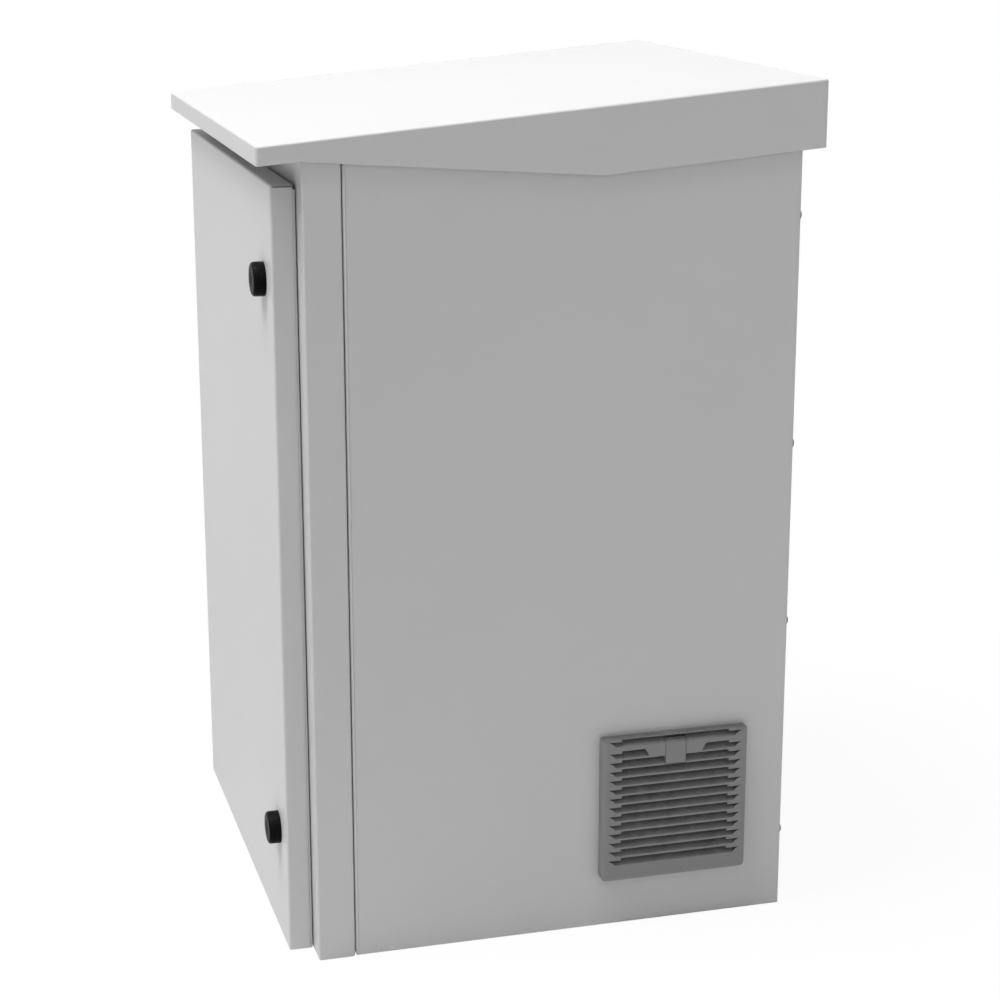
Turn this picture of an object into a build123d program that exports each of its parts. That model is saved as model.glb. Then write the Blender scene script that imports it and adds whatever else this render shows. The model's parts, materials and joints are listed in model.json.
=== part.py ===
from build123d import *
import math
import os

# A roadside utility cabinet: folded steel body, sloped roof, one door with two
# quarter-turn locks, and a filter fan on its right side. Millimetres, +Z up. The front
# faces -Y and the origin is the middle of the footprint, on the ground.

# Sheet, bends and clearances
sheet = 1.5
bend_radius = 2.5
moving_gap = 0.4
hole_gap = 0.2
running_gap = 0.07
overrun = 5.0

# Body
body_width = 600.0
body_depth = 530.0
body_height = 865.0

# Front frame
frame_depth = 40.0
frame_back_flange = 25.0
lip_inset = 20.0

# Side panels and the seals in their front seams
panel_flange = 24.0
seam_gap = 2.0
seal_inset = 12.0
seal_width = 10.0

# Rear panel and its screws
rear_panel_margin = 8.0
rear_panel_top_margin = 5.0
rear_screw_inset = 16.0
rear_screw_end_margin = 78.0
rear_screw_inner_share = 0.2888
rear_screw_radius = 3.0
rear_screw_length = 14.0
rear_head_radius = 6.0
rear_head_height = 4.6
rear_head_round = 2.2
rear_washer_radius = 6.6
rear_washer_height = 1.6

# Top panel with its air slots
top_panel_margin = 4.0
top_panel_flange = 20.0
slot_length = 70.0
slot_width = 6.0
slot_pitch = 16.0
slot_column_pitch = 110.0
slot_rows = 8
slot_columns = 4

# Base tray, anchor holes and cable entry
base_sheet = 2.0
base_wall = 20.0
anchor_inset_x = 60.0
anchor_inset_y = 85.0
anchor_hole_radius = 6.0
cable_cutout_length = 220.0
cable_cutout_width = 80.0
cable_entry_inset = 115.0
gland_plate_length = 260.0
gland_plate_width = 114.0
gland_plate_sheet = 2.0
gland_screw_spacing_x = 120.0
gland_screw_spacing_y = 98.0
gland_screw_columns = 3
gland_screw_radius = 2.0
gland_head_radius = 3.8
gland_head_height = 2.4
grommet_count = 4
grommet_pitch = 50.0
grommet_hole_radius = 16.0
grommet_rim = 4.0
grommet_lower_rim_height = 1.6
grommet_upper_rim_height = 2.5
grommet_cone_height = 10.0
grommet_cone_radius = 8.0
grommet_skin = 1.6

# Earth stud
earth_inset_x = 76.0
earth_inset_y = 35.0
earth_radius = 4.0
earth_length = 25.0
earth_nut_width = 13.0
earth_nut_height = 6.5

# Roof: its front rise is from the body's top to the top of its front edge
roof_side_gap = 1.5
roof_front_overhang = 44.5
roof_back_overhang = 25.0
roof_front_rise = 7.7
roof_rise = 51.6
roof_lip_height = 19.7
roof_skirt_depth = 70.8
roof_step_ahead = 3.0
roof_low_point_inset = 217.7
roof_seam = 0.6

# Rails and studs that hold the roof
roof_rail_end_margin = 30.0
roof_rail_crown = 32.0
roof_rail_foot = 16.0
roof_rail_inset = 60.0
roof_stud_end_margin = 70.0
roof_stud_radius = 3.0
roof_stud_length = 10.0
roof_nut_width = 10.0
roof_nut_height = 5.0

# Door
door_side_margin = 29.0
door_top_margin = 34.4
door_base = 1.0
door_depth = 23.0
door_gap = 3.5
door_flange = 12.0
door_corner_radius = 3.0
door_slit = 0.8
gasket_width = 14.0
gasket_height = 7.0
stiffener_spacing_share = 0.48
stiffener_crown = 30.0
stiffener_foot = 12.0
stiffener_height = 14.0
stiffener_end_margin = 70.0
stiffener_hole_radius = 4.0
stiffener_hole_pitch = 100.0

# Hinges, which stand in the margin left of the door
hinge_offset = 9.0
hinge_height = 64.0
hinge_knuckle_radius = 6.0
hinge_mid_knuckle = 19.4
hinge_pad = 2.0
hinge_pad_depth = 16.0
hinge_base = 3.0
hinge_base_reach = 17.0
hinge_arm = 8.0
hinge_pin_radius = 3.0
hinge_pin_head_radius = 4.5
hinge_pin_head_height = 2.0

# Locks
lock_inset = 48.5
upper_lock_inset = 101.2
lower_lock_inset = 125.5
lock_head_radius = 16.5
lock_head_height = 13.0
lock_head_chamfer = 1.2
lock_barrel_radius = 11.0
lock_barrel_length = 23.0
lock_nut_width = 30.0
lock_nut_height = 6.0
lock_core_radius = 7.0
lock_core_recess = 2.0
lock_slot_length = 8.0
lock_slot_width = 3.0
lock_slot_depth = 8.0
lock_collar_radius = 9.0
lock_square = 8.0
cam_thickness = 3.0
cam_width = 20.0
cam_reach = 46.0
cam_gap = 1.2
cam_bolt_radius = 2.5
cam_bolt_length = 9.0
cam_head_radius = 6.5
cam_head_height = 3.5

# Equipment rails with square holes, and the braces that carry them
rail_hole_inset = 67.45
rail_face = 24.0
rail_return = 30.0
rail_sheet = 2.0
rail_setback = 65.0
rail_base = 28.0
rail_top_margin = 37.0
rail_hole = 9.5
rail_unit_height = 44.45
rail_hole_pitch = 15.875
rail_first_hole = 30.0
brace_height = 36.0
brace_side_gap = 11.45
lower_brace_z = 26.0
upper_brace_drop = 77.0
rail_screw_radius = 3.0
rail_screw_spacing = 20.0
rail_head_radius = 5.2
rail_head_height = 3.3

# Filter unit: cut-out, housing, mat and fan
filter_inset = 131.5
filter_z = 139.0
cutout_margin = 14.0
collar_gap = 0.3
collar_wall = 2.0
collar_depth = 20.0
housing_flange_thickness = 2.5
housing_foot_margin = 8.0
housing_air_rim = 1.0
mat_thickness = 8.0
mat_gap = 0.6
fan_margin = 10.5
fan_depth = 25.0
fan_corner_radius = 5.0
fan_rim = 2.5
fan_screw_inset = 7.0
fan_screw_radius = 2.0
fan_head_radius = 3.8
fan_head_height = 2.6
fan_motor_radius = 21.0
fan_motor_depth = 4.0
fan_strut_width = 5.0
fan_shaft_radius = 2.0
fan_shaft_length = 8.0
fan_hub_radius = 19.0
fan_hub_depth = 18.0
fan_blades = 7
fan_tip_gap = 2.0
fan_blade_thickness = 1.6
fan_root_chord = 17.0
fan_tip_chord = 28.0
fan_root_angle = 48.0
fan_tip_angle = 28.0

# Louvred cover of the filter unit
cover_size = 168.0
cover_depth = 11.5
cover_lift = 0.5
cover_top_radius = 2.5
cover_bottom_radius = 10.0
cover_chin_round = 7.0
cover_wall = 2.2
cover_edge_round = 1.2
louvre_depth = 6.5
slat_count = 13
slat_edge = 1.75
slat_rise = 6.0
lowest_slat_above = 19.8
highest_slat_below = 22.8
top_recess_below = 9.5
top_recess_height = 8.2
scoop_top_margin = 7.0
scoop_bottom_margin = 15.0
scoop_bulge = 1.6
gap_margin = 22.0
wing_half_top = 40.7
wing_half_bottom = 31.0
wing_bulge = 1.8
cover_axis_above = 4.2
cover_axis_out = 5.0
chin_pocket_height = 17.0
trunnion_radius = 1.2
trunnion_length = 3.0
ear_width = 2.4
ear_radius = 2.0
ear_height = 11.0

# Pull tab of the cover
tab_width = 23.0
tab_gap = 0.5
tab_drop = 34.2
tab_thickness = 3.0
tab_axis_below = 8.5
tab_axis_in = 4.8
tab_pin_radius = 1.0
tab_pin_length = 1.6

# Faces and lines that several pieces share
side_x = body_width / 2
front_y = -body_depth / 2
back_y = body_depth / 2
frame_back_y = front_y + frame_depth
panel_front_y = frame_back_y + seam_gap
panel_length = back_y - panel_front_y
panel_mid_y = (panel_front_y + back_y) / 2
flange_edge_x = side_x - panel_flange

anchor_spacing_x = body_width - 2 * anchor_inset_x
anchor_spacing_y = body_depth - 2 * anchor_inset_y
cable_entry_y = back_y - cable_entry_inset
earth_x = earth_inset_x - flange_edge_x
earth_y = frame_back_y + earth_inset_y

door_width = body_width - 2 * door_side_margin
door_height = body_height - door_base - door_top_margin
door_back_y = front_y - door_gap
door_front_y = door_back_y - door_depth
door_inner_y = door_front_y + sheet
door_mid_z = door_base + door_height / 2
door_edge_x = door_width / 2
lip_width = door_width - 2 * lip_inset
lip_height = door_height - 2 * lip_inset
opening_width = lip_width - 2 * sheet
opening_height = lip_height - 2 * sheet
gasket_face_y = door_inner_y + gasket_height
lip_reach = front_y - gasket_face_y - moving_gap

rear_panel_width = body_width - 2 * rear_panel_margin
rear_panel_height = body_height - rear_panel_margin - rear_panel_top_margin
rear_panel_mid_z = rear_panel_margin + rear_panel_height / 2
rear_screw_x = side_x - rear_screw_inset
rear_screw_outer_spacing = rear_panel_height - 2 * rear_screw_end_margin
rear_screw_inner_spacing = rear_screw_inner_share * rear_screw_outer_spacing
rear_screw_levels = [
    rear_panel_mid_z - rear_screw_outer_spacing / 2,
    rear_panel_mid_z - rear_screw_inner_spacing / 2,
    rear_panel_mid_z + rear_screw_inner_spacing / 2,
    rear_panel_mid_z + rear_screw_outer_spacing / 2,
]
rear_screw_places = [(side * rear_screw_x, z) for side in (-1, 1) for z in rear_screw_levels]

roof_half = side_x + roof_side_gap + sheet
roof_front_height = body_height + roof_front_rise
roof_low_point_y = back_y - roof_low_point_inset
roof_rail_length = body_width - 2 * roof_rail_end_margin
roof_stud_spacing = roof_rail_length - 2 * roof_stud_end_margin
roof_front_y = front_y - roof_front_overhang
roof_back_y = back_y + roof_back_overhang
roof_slope = math.atan2(roof_rise, roof_back_y - roof_front_y)
top_panel_face = body_height + sheet
front_rail_y = front_y + roof_rail_inset
rear_rail_y = back_y - roof_rail_inset

hinge_x = -door_edge_x - hinge_offset
hinge_y = (door_back_y + door_front_y) / 2
lock_x = door_edge_x - lock_inset
lower_lock_z = door_base + lower_lock_inset
upper_lock_z = door_base + door_height - upper_lock_inset
lock_places = [(lock_x, lower_lock_z), (lock_x, upper_lock_z)]
cam_front_y = front_y + sheet + cam_gap
cam_back_y = cam_front_y + cam_thickness
lock_face_y = door_front_y - lock_head_height
barrel_end_y = door_front_y + lock_barrel_length

rail_mid_x = side_x - rail_hole_inset
rail_outer_x = rail_mid_x + rail_face / 2
rail_front_y = front_y + rail_setback
rail_height = body_height - rail_base - rail_top_margin
rail_units = int((rail_height - 2 * rail_first_hole) / rail_unit_height)
brace_reach = side_x - brace_side_gap - rail_outer_x
upper_brace_z = body_height - upper_brace_drop
brace_front_y = panel_front_y + sheet
brace_back_y = back_y - sheet

filter_y = back_y - filter_inset
cover_back_x = side_x + cover_lift
cover_front_x = cover_back_x + cover_depth
cover_base_z = filter_z - cover_size / 2
cover_top_z = filter_z + cover_size / 2
louvre_back_x = cover_front_x - louvre_depth
cover_axis_x = side_x + cover_axis_out
cover_axis_z = cover_base_z + cover_axis_above
cover_inner_half = cover_size / 2 - cover_wall
housing_flange = 2 * (cover_inner_half - moving_gap - ear_width)
housing_flange_drop = cover_size / 2 - housing_foot_margin
cutout_size = cover_size - 2 * cutout_margin
collar_size = cutout_size - 2 * collar_gap
fan_size = cutout_size - 2 * fan_margin
fan_bore_radius = fan_size / 2 - fan_rim
fan_screw_spacing = fan_size - 2 * fan_screw_inset
housing_air_radius = fan_bore_radius - housing_air_rim
collar_back_x = side_x - collar_depth
fan_back_x = collar_back_x - fan_depth
slat_pitch = (cover_size - lowest_slat_above - highest_slat_below) / (slat_count - 1)
scoop_half_top = cover_size / 2 - scoop_top_margin
scoop_half_bottom = cover_size / 2 - scoop_bottom_margin
gap_half = cover_size / 2 - gap_margin
slat_lows = [cover_base_z + lowest_slat_above + i * slat_pitch for i in range(slat_count)]
top_recess_low = cover_top_z - top_recess_below
tab_low_z = cover_top_z - tab_drop
tab_axis_x = cover_front_x - tab_axis_in
tab_axis_z = cover_top_z - tab_axis_below


def facing_front(y):
    """Plane at depth y, drawn in x and z; a positive extrude comes forward."""
    return Plane.XZ.offset(-y)


def facing_right(x):
    """Plane at x, drawn in y and z; a positive extrude goes to the right."""
    return Plane.YZ.offset(x)


def level(z):
    """Plane at height z, drawn in x and y."""
    return Plane.XY.offset(z)


def roof_top(y):
    """Height of the roof's top surface at depth y."""
    return roof_front_height + (y - roof_front_y) * math.tan(roof_slope)


def roof_under(y):
    """Height of the underside of the roof sheet at depth y."""
    return roof_top(y) - sheet / math.cos(roof_slope)


def write(piece, name):
    """Label a finished piece and write it as one STEP file."""
    piece.label = name
    export_step(piece, f"parts/{name}.step")


os.makedirs("parts", exist_ok=True)

# Front frame: folded ring with a rain lip round the door opening
with BuildPart() as front_frame:
    with BuildSketch(facing_front(frame_back_y)):
        with Locations((0, body_height / 2)):
            Rectangle(body_width, body_height)
            Rectangle(body_width - 2 * sheet, body_height - 2 * sheet, mode=Mode.SUBTRACT)
    extrude(amount=frame_depth)
    with BuildSketch(facing_front(front_y + sheet)):
        with Locations((0, body_height / 2)):
            Rectangle(body_width, body_height)
        with Locations((0, door_mid_z)):
            Rectangle(opening_width, opening_height, mode=Mode.SUBTRACT)
    extrude(amount=sheet)
    with BuildSketch(facing_front(frame_back_y)):
        with Locations((0, body_height / 2)):
            Rectangle(body_width, body_height)
            Rectangle(
                body_width - 2 * frame_back_flange,
                body_height - 2 * frame_back_flange,
                mode=Mode.SUBTRACT,
            )
    extrude(amount=sheet)
    front_bends = front_frame.faces().sort_by(Axis.Y)[0].outer_wire().edges()
    back_bends = front_frame.faces().sort_by(Axis.Y)[-1].outer_wire().edges()
    fillet(front_bends + back_bends, bend_radius)
    with BuildSketch(facing_front(front_y + sheet)):
        with Locations((0, door_mid_z)):
            Rectangle(lip_width, lip_height)
            Rectangle(opening_width, opening_height, mode=Mode.SUBTRACT)
    extrude(amount=lip_reach + sheet)
write(front_frame.part, "front_frame")


def side_pan(side):
    """Shallow folded pan of one side: -1 is left and 1 is right."""
    with BuildPart() as pan:
        with BuildSketch(facing_right(side * flange_edge_x)):
            with Locations((panel_mid_y, body_height / 2)):
                Rectangle(panel_length, body_height)
        extrude(amount=side * panel_flange)
        by_side = pan.faces().sort_by(Axis((0, 0, 0), (side, 0, 0)))
        fillet(by_side[-1].edges(), bend_radius)
        offset(amount=-sheet, openings=pan.faces().sort_by(Axis((0, 0, 0), (side, 0, 0)))[0])
        with BuildSketch(facing_front(back_y)):
            with Locations(*rear_screw_places):
                Circle(rear_screw_radius + hole_gap)
        extrude(amount=panel_flange / 2, mode=Mode.SUBTRACT)
    return pan.part


# Left side panel: plain
left_pan = side_pan(-1)
write(left_pan, "left_side_panel")

# Right side panel: the same pan with a square cut-out for the filter unit
right_pan = side_pan(1)
with BuildPart() as right_side_panel:
    add(right_pan)
    with BuildSketch(facing_right(side_x)):
        with Locations((filter_y, filter_z)):
            Rectangle(cutout_size, cutout_size)
    extrude(amount=-panel_flange, mode=Mode.SUBTRACT)
write(right_side_panel.part, "right_side_panel")

# Seals between the frame's back flange and the side panels
for side, side_name in ((-1, "left"), (1, "right")):
    with BuildPart() as panel_seal:
        with BuildSketch(facing_front(panel_front_y)):
            with Locations((side * (side_x - seal_inset - seal_width / 2), body_height / 2)):
                Rectangle(seal_width, body_height)
        extrude(amount=seam_gap)
    write(panel_seal.part, f"{side_name}_panel_seal")

# Rear panel: flat sheet laid over the flanges of the side panels
with BuildPart() as rear_panel:
    with BuildSketch(facing_front(back_y)):
        with Locations((0, rear_panel_mid_z)):
            Rectangle(rear_panel_width, rear_panel_height)
        with Locations(*rear_screw_places):
            Circle(rear_screw_radius + hole_gap, mode=Mode.SUBTRACT)
    extrude(amount=-sheet)
write(rear_panel.part, "rear_panel")

# Screws and washers of the rear panel
with BuildPart() as rear_panel_washers:
    with BuildSketch(facing_front(back_y + sheet)):
        with Locations(*rear_screw_places):
            Circle(rear_washer_radius)
            Circle(rear_screw_radius + hole_gap, mode=Mode.SUBTRACT)
    extrude(amount=-rear_washer_height)
write(rear_panel_washers.part, "rear_panel_washers")

with BuildPart() as rear_panel_screws:
    with BuildSketch(facing_front(back_y + sheet + rear_washer_height)):
        with Locations(*rear_screw_places):
            Circle(rear_head_radius)
    extrude(amount=-rear_head_height)
    fillet(rear_panel_screws.edges().group_by(Axis.Y)[-1], rear_head_round)
    with BuildSketch(facing_front(back_y + sheet + rear_washer_height)):
        with Locations(*rear_screw_places):
            Circle(rear_screw_radius)
    extrude(amount=rear_screw_length)
write(rear_panel_screws.part, "rear_panel_screws")

# Top panel: flat sheet with air slots under the roof and a flange behind
with BuildPart() as top_panel:
    with BuildSketch(level(body_height)):
        with Locations((0, top_panel_margin / 2)):
            Rectangle(body_width - 2 * top_panel_margin, body_depth - top_panel_margin)
        with GridLocations(slot_column_pitch, slot_pitch, slot_columns, slot_rows):
            SlotOverall(slot_length, slot_width, mode=Mode.SUBTRACT)
    extrude(amount=sheet)
    with BuildSketch(facing_front(back_y)):
        with Locations((0, body_height - top_panel_flange / 2)):
            Rectangle(2 * flange_edge_x, top_panel_flange)
    extrude(amount=sheet)
write(top_panel.part, "top_panel")

# Base: tray with anchor holes and an opening for cables
with BuildPart() as base_panel:
    with BuildSketch(level(0)):
        with Locations((0, (frame_back_y + back_y) / 2)):
            Rectangle(2 * flange_edge_x, back_y - frame_back_y)
    extrude(amount=base_wall)
    offset(amount=-base_sheet, openings=base_panel.faces().sort_by(Axis.Z)[-1])
    with BuildSketch(level(0)):
        with GridLocations(anchor_spacing_x, anchor_spacing_y, 2, 2):
            Circle(anchor_hole_radius)
        with Locations((0, cable_entry_y)):
            Rectangle(cable_cutout_length, cable_cutout_width)
        with Locations((earth_x, earth_y)):
            Circle(earth_radius)
    extrude(amount=base_sheet, mode=Mode.SUBTRACT)
write(base_panel.part, "base_panel")

# Gland plate over the cable opening, its screws and its rubber grommets
with BuildPart() as gland_plate:
    with BuildSketch(level(base_sheet)):
        with Locations((0, cable_entry_y)):
            Rectangle(gland_plate_length, gland_plate_width)
            with GridLocations(grommet_pitch, 0, grommet_count, 1):
                Circle(grommet_hole_radius, mode=Mode.SUBTRACT)
            with GridLocations(gland_screw_spacing_x, gland_screw_spacing_y, gland_screw_columns, 2):
                Circle(gland_screw_radius, mode=Mode.SUBTRACT)
    extrude(amount=gland_plate_sheet)
write(gland_plate.part, "gland_plate")

gland_plate_face = base_sheet + gland_plate_sheet
with BuildPart() as gland_plate_screws:
    with BuildSketch(level(gland_plate_face)) as screw_heads:
        with Locations((0, cable_entry_y)):
            with GridLocations(gland_screw_spacing_x, gland_screw_spacing_y, gland_screw_columns, 2):
                Circle(gland_head_radius)
    extrude(amount=gland_head_height)
    with BuildSketch(level(base_sheet)):
        with Locations((0, cable_entry_y)):
            with GridLocations(gland_screw_spacing_x, gland_screw_spacing_y, gland_screw_columns, 2):
                Circle(gland_screw_radius)
    extrude(amount=gland_plate_sheet)
write(gland_plate_screws.part, "gland_plate_screws")

with BuildPart() as cable_grommets:
    with BuildSketch(level(base_sheet - grommet_lower_rim_height)):
        with Locations((0, cable_entry_y)):
            with GridLocations(grommet_pitch, 0, grommet_count, 1):
                Circle(grommet_hole_radius + grommet_rim)
    extrude(amount=grommet_lower_rim_height)
    with BuildSketch(level(base_sheet)):
        with Locations((0, cable_entry_y)):
            with GridLocations(grommet_pitch, 0, grommet_count, 1):
                Circle(grommet_hole_radius)
    extrude(amount=gland_plate_sheet)
    with BuildSketch(level(gland_plate_face)):
        with Locations((0, cable_entry_y)):
            with GridLocations(grommet_pitch, 0, grommet_count, 1):
                Circle(grommet_hole_radius + grommet_rim)
    extrude(amount=grommet_upper_rim_height)
    cone_base = gland_plate_face + grommet_upper_rim_height
    for i in range(grommet_count):
        grommet_x = (i - (grommet_count - 1) / 2) * grommet_pitch
        with BuildSketch(level(cone_base)):
            with Locations((grommet_x, cable_entry_y)):
                Circle(grommet_hole_radius)
        with BuildSketch(level(cone_base + grommet_cone_height)):
            with Locations((grommet_x, cable_entry_y)):
                Circle(grommet_cone_radius)
        loft()
    with BuildSketch(level(base_sheet - grommet_lower_rim_height)):
        with Locations((0, cable_entry_y)):
            with GridLocations(grommet_pitch, 0, grommet_count, 1):
                Circle(grommet_cone_radius - grommet_skin)
    extrude(
        amount=cone_base + grommet_cone_height - grommet_skin - base_sheet + grommet_lower_rim_height,
        mode=Mode.SUBTRACT,
    )
write(cable_grommets.part, "cable_grommets")

# Earth stud and nut on the base
with BuildPart() as earth_stud:
    with BuildSketch(level(0)):
        with Locations((earth_x, earth_y)):
            Circle(earth_radius)
    extrude(amount=earth_length)
write(earth_stud.part, "earth_stud")

with BuildPart() as earth_nut:
    with BuildSketch(level(base_sheet)):
        with Locations((earth_x, earth_y)):
            RegularPolygon(earth_nut_width / 2, 6, major_radius=False)
            Circle(earth_radius + hole_gap, mode=Mode.SUBTRACT)
    extrude(amount=earth_nut_height)
write(earth_nut.part, "earth_nut")

# Roof: folded canopy, with sides that drop to a low point behind the middle
roof_step_y = front_y - roof_step_ahead
with BuildPart() as roof:
    with BuildSketch(facing_right(-roof_half)):
        Polygon(
            (roof_front_y, roof_top(roof_front_y) - roof_lip_height),
            (roof_front_y, roof_top(roof_front_y)),
            (roof_back_y, roof_top(roof_back_y)),
            (roof_back_y, roof_top(roof_back_y) - roof_skirt_depth),
            (roof_low_point_y, roof_top(roof_low_point_y) - roof_skirt_depth),
            (roof_step_y, roof_top(roof_step_y) - roof_lip_height),
            align=None,
        )
    extrude(amount=2 * roof_half)
    top_bends = roof.faces().sort_by(Axis.Z)[-1].edges()
    corner_bends = roof.edges().filter_by(Axis.Z)
    fillet(top_bends + corner_bends, bend_radius)
    undersides = roof.faces().filter_by(lambda face: face.normal_at().Z < -0.5)
    offset(amount=-sheet, openings=undersides)
    with BuildSketch(facing_front(roof_front_y + bend_radius)):
        for side in (-1, 1):
            with Locations((side * (roof_half - sheet - roof_seam / 2), roof_front_height - roof_lip_height)):
                Rectangle(roof_seam, 2 * (roof_lip_height - bend_radius))
    extrude(amount=bend_radius, mode=Mode.SUBTRACT)
write(roof.part, "roof")


def roof_stud_planes(y):
    """Planes square to the roof's underside where its studs stand."""
    normal = (0, -math.sin(roof_slope), math.cos(roof_slope))
    places = [(side * roof_stud_spacing / 2, y, roof_under(y)) for side in (-1, 1)]
    return [Plane(origin=place, x_dir=(1, 0, 0), z_dir=normal) for place in places]


def roof_rail(mid_y):
    """Hat rail on the top panel whose crown follows the roof's slope."""
    near_y = mid_y - roof_rail_crown / 2
    far_y = mid_y + roof_rail_crown / 2
    with BuildPart() as rail:
        with BuildSketch(facing_right(-roof_rail_length / 2)):
            Polygon(
                (near_y, top_panel_face),
                (far_y, top_panel_face),
                (far_y, roof_under(far_y)),
                (near_y, roof_under(near_y)),
                align=None,
            )
            Polygon(
                (near_y + sheet, top_panel_face),
                (far_y - sheet, top_panel_face),
                (far_y - sheet, roof_under(far_y - sheet) - sheet),
                (near_y + sheet, roof_under(near_y + sheet) - sheet),
                align=None,
                mode=Mode.SUBTRACT,
            )
            with Locations((near_y, top_panel_face)):
                Rectangle(roof_rail_foot, sheet, align=(Align.MAX, Align.MIN))
            with Locations((far_y, top_panel_face)):
                Rectangle(roof_rail_foot, sheet, align=(Align.MIN, Align.MIN))
        extrude(amount=roof_rail_length)
        for plane in roof_stud_planes(mid_y):
            with BuildSketch(plane):
                Circle(roof_stud_radius + hole_gap)
            extrude(amount=-roof_stud_length, mode=Mode.SUBTRACT)
    return rail.part


front_rail = roof_rail(front_rail_y)
write(front_rail, "roof_front_rail")
rear_rail = roof_rail(rear_rail_y)
write(rear_rail, "roof_rear_rail")

# Welded studs under the roof and their nuts below the rails
stud_planes = roof_stud_planes(front_rail_y) + roof_stud_planes(rear_rail_y)
with BuildPart() as roof_studs:
    for plane in stud_planes:
        with BuildSketch(plane):
            Circle(roof_stud_radius)
        extrude(amount=-roof_stud_length)
write(roof_studs.part, "roof_studs")

with BuildPart() as roof_nuts:
    for plane in stud_planes:
        with BuildSketch(plane.offset(-sheet)):
            RegularPolygon(roof_nut_width / 2, 6, major_radius=False)
            Circle(roof_stud_radius + hole_gap, mode=Mode.SUBTRACT)
        extrude(amount=-roof_nut_height)
write(roof_nuts.part, "roof_nuts")

# Door: folded tray with inward flanges and open slits at its top corners
with BuildPart() as door:
    with BuildSketch(facing_front(door_back_y)):
        with Locations((0, door_mid_z)):
            RectangleRounded(door_width, door_height, door_corner_radius)
    extrude(amount=door_depth)
    fillet(door.faces().sort_by(Axis.Y)[0].edges(), bend_radius)
    offset(amount=-sheet, openings=door.faces().sort_by(Axis.Y)[-1])
    with BuildSketch(facing_front(door_back_y)):
        with Locations((0, door_mid_z)):
            RectangleRounded(door_width, door_height, door_corner_radius)
            Rectangle(door_width - 2 * door_flange, door_height - 2 * door_flange, mode=Mode.SUBTRACT)
    extrude(amount=sheet)
    slit_top_z = door_base + door_height - sheet
    with BuildSketch(facing_front(door_back_y)):
        for side in (-1, 1):
            with Locations((side * door_edge_x, slit_top_z - door_slit / 2)):
                Rectangle(4 * sheet, door_slit)
    extrude(amount=door_depth - bend_radius, mode=Mode.SUBTRACT)
    with BuildSketch(facing_front(door_inner_y)):
        with Locations(*lock_places):
            Circle(lock_barrel_radius + hole_gap)
    extrude(amount=overrun, mode=Mode.SUBTRACT)
write(door.part, "door")

# Foamed seal inside the door, opposite the frame's lip
with BuildPart() as door_gasket:
    with BuildSketch(facing_front(gasket_face_y)):
        with Locations((0, door_mid_z)):
            Rectangle(lip_width - sheet + gasket_width, lip_height - sheet + gasket_width)
            Rectangle(
                lip_width - sheet - gasket_width,
                lip_height - sheet - gasket_width,
                mode=Mode.SUBTRACT,
            )
    extrude(amount=gasket_height)
write(door_gasket.part, "door_gasket")

# Two perforated hat stiffeners on the inside of the door
stiffener_spacing = stiffener_spacing_share * door_width
stiffener_length = door_height - 2 * stiffener_end_margin
stiffener_holes = int(stiffener_length / stiffener_hole_pitch)
for side, side_name in ((-1, "left"), (1, "right")):
    stiffener_x = side * stiffener_spacing / 2
    with BuildPart() as door_stiffener:
        with BuildSketch(level(door_base + stiffener_end_margin)):
            with Locations((stiffener_x, door_inner_y)):
                Rectangle(stiffener_crown, stiffener_height, align=(Align.CENTER, Align.MIN))
                Rectangle(
                    stiffener_crown - 2 * sheet,
                    stiffener_height - sheet,
                    align=(Align.CENTER, Align.MIN),
                    mode=Mode.SUBTRACT,
                )
                with Locations((-stiffener_crown / 2, 0)):
                    Rectangle(stiffener_foot, sheet, align=(Align.MAX, Align.MIN))
                with Locations((stiffener_crown / 2, 0)):
                    Rectangle(stiffener_foot, sheet, align=(Align.MIN, Align.MIN))
        extrude(amount=stiffener_length)
        with BuildSketch(facing_front(door_inner_y + stiffener_height)):
            with Locations((stiffener_x, door_mid_z)):
                with GridLocations(0, stiffener_hole_pitch, 1, stiffener_holes):
                    Circle(stiffener_hole_radius)
        extrude(amount=stiffener_height / 2, mode=Mode.SUBTRACT)
    write(door_stiffener.part, f"{side_name}_door_stiffener")


def frame_hinge(mid_z):
    """Hinge half on the frame: a base pad and the middle knuckle."""
    with BuildPart() as half:
        with BuildSketch(facing_front(front_y)):
            with Locations((hinge_x - hinge_base_reach, mid_z)):
                Rectangle(
                    hinge_base_reach + hinge_knuckle_radius,
                    hinge_height,
                    align=(Align.MIN, Align.CENTER),
                )
        extrude(amount=hinge_base)
        with BuildSketch(level(mid_z - hinge_mid_knuckle / 2)):
            with Locations((hinge_x, hinge_y)):
                Circle(hinge_knuckle_radius)
                Rectangle(
                    2 * hinge_knuckle_radius,
                    front_y - hinge_y,
                    align=(Align.CENTER, Align.MIN),
                )
        extrude(amount=hinge_mid_knuckle)
        with BuildSketch(level(mid_z - hinge_mid_knuckle / 2)):
            with Locations((hinge_x, hinge_y)):
                Circle(hinge_pin_radius + running_gap)
        extrude(amount=hinge_mid_knuckle, mode=Mode.SUBTRACT)
    return half.part


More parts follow.
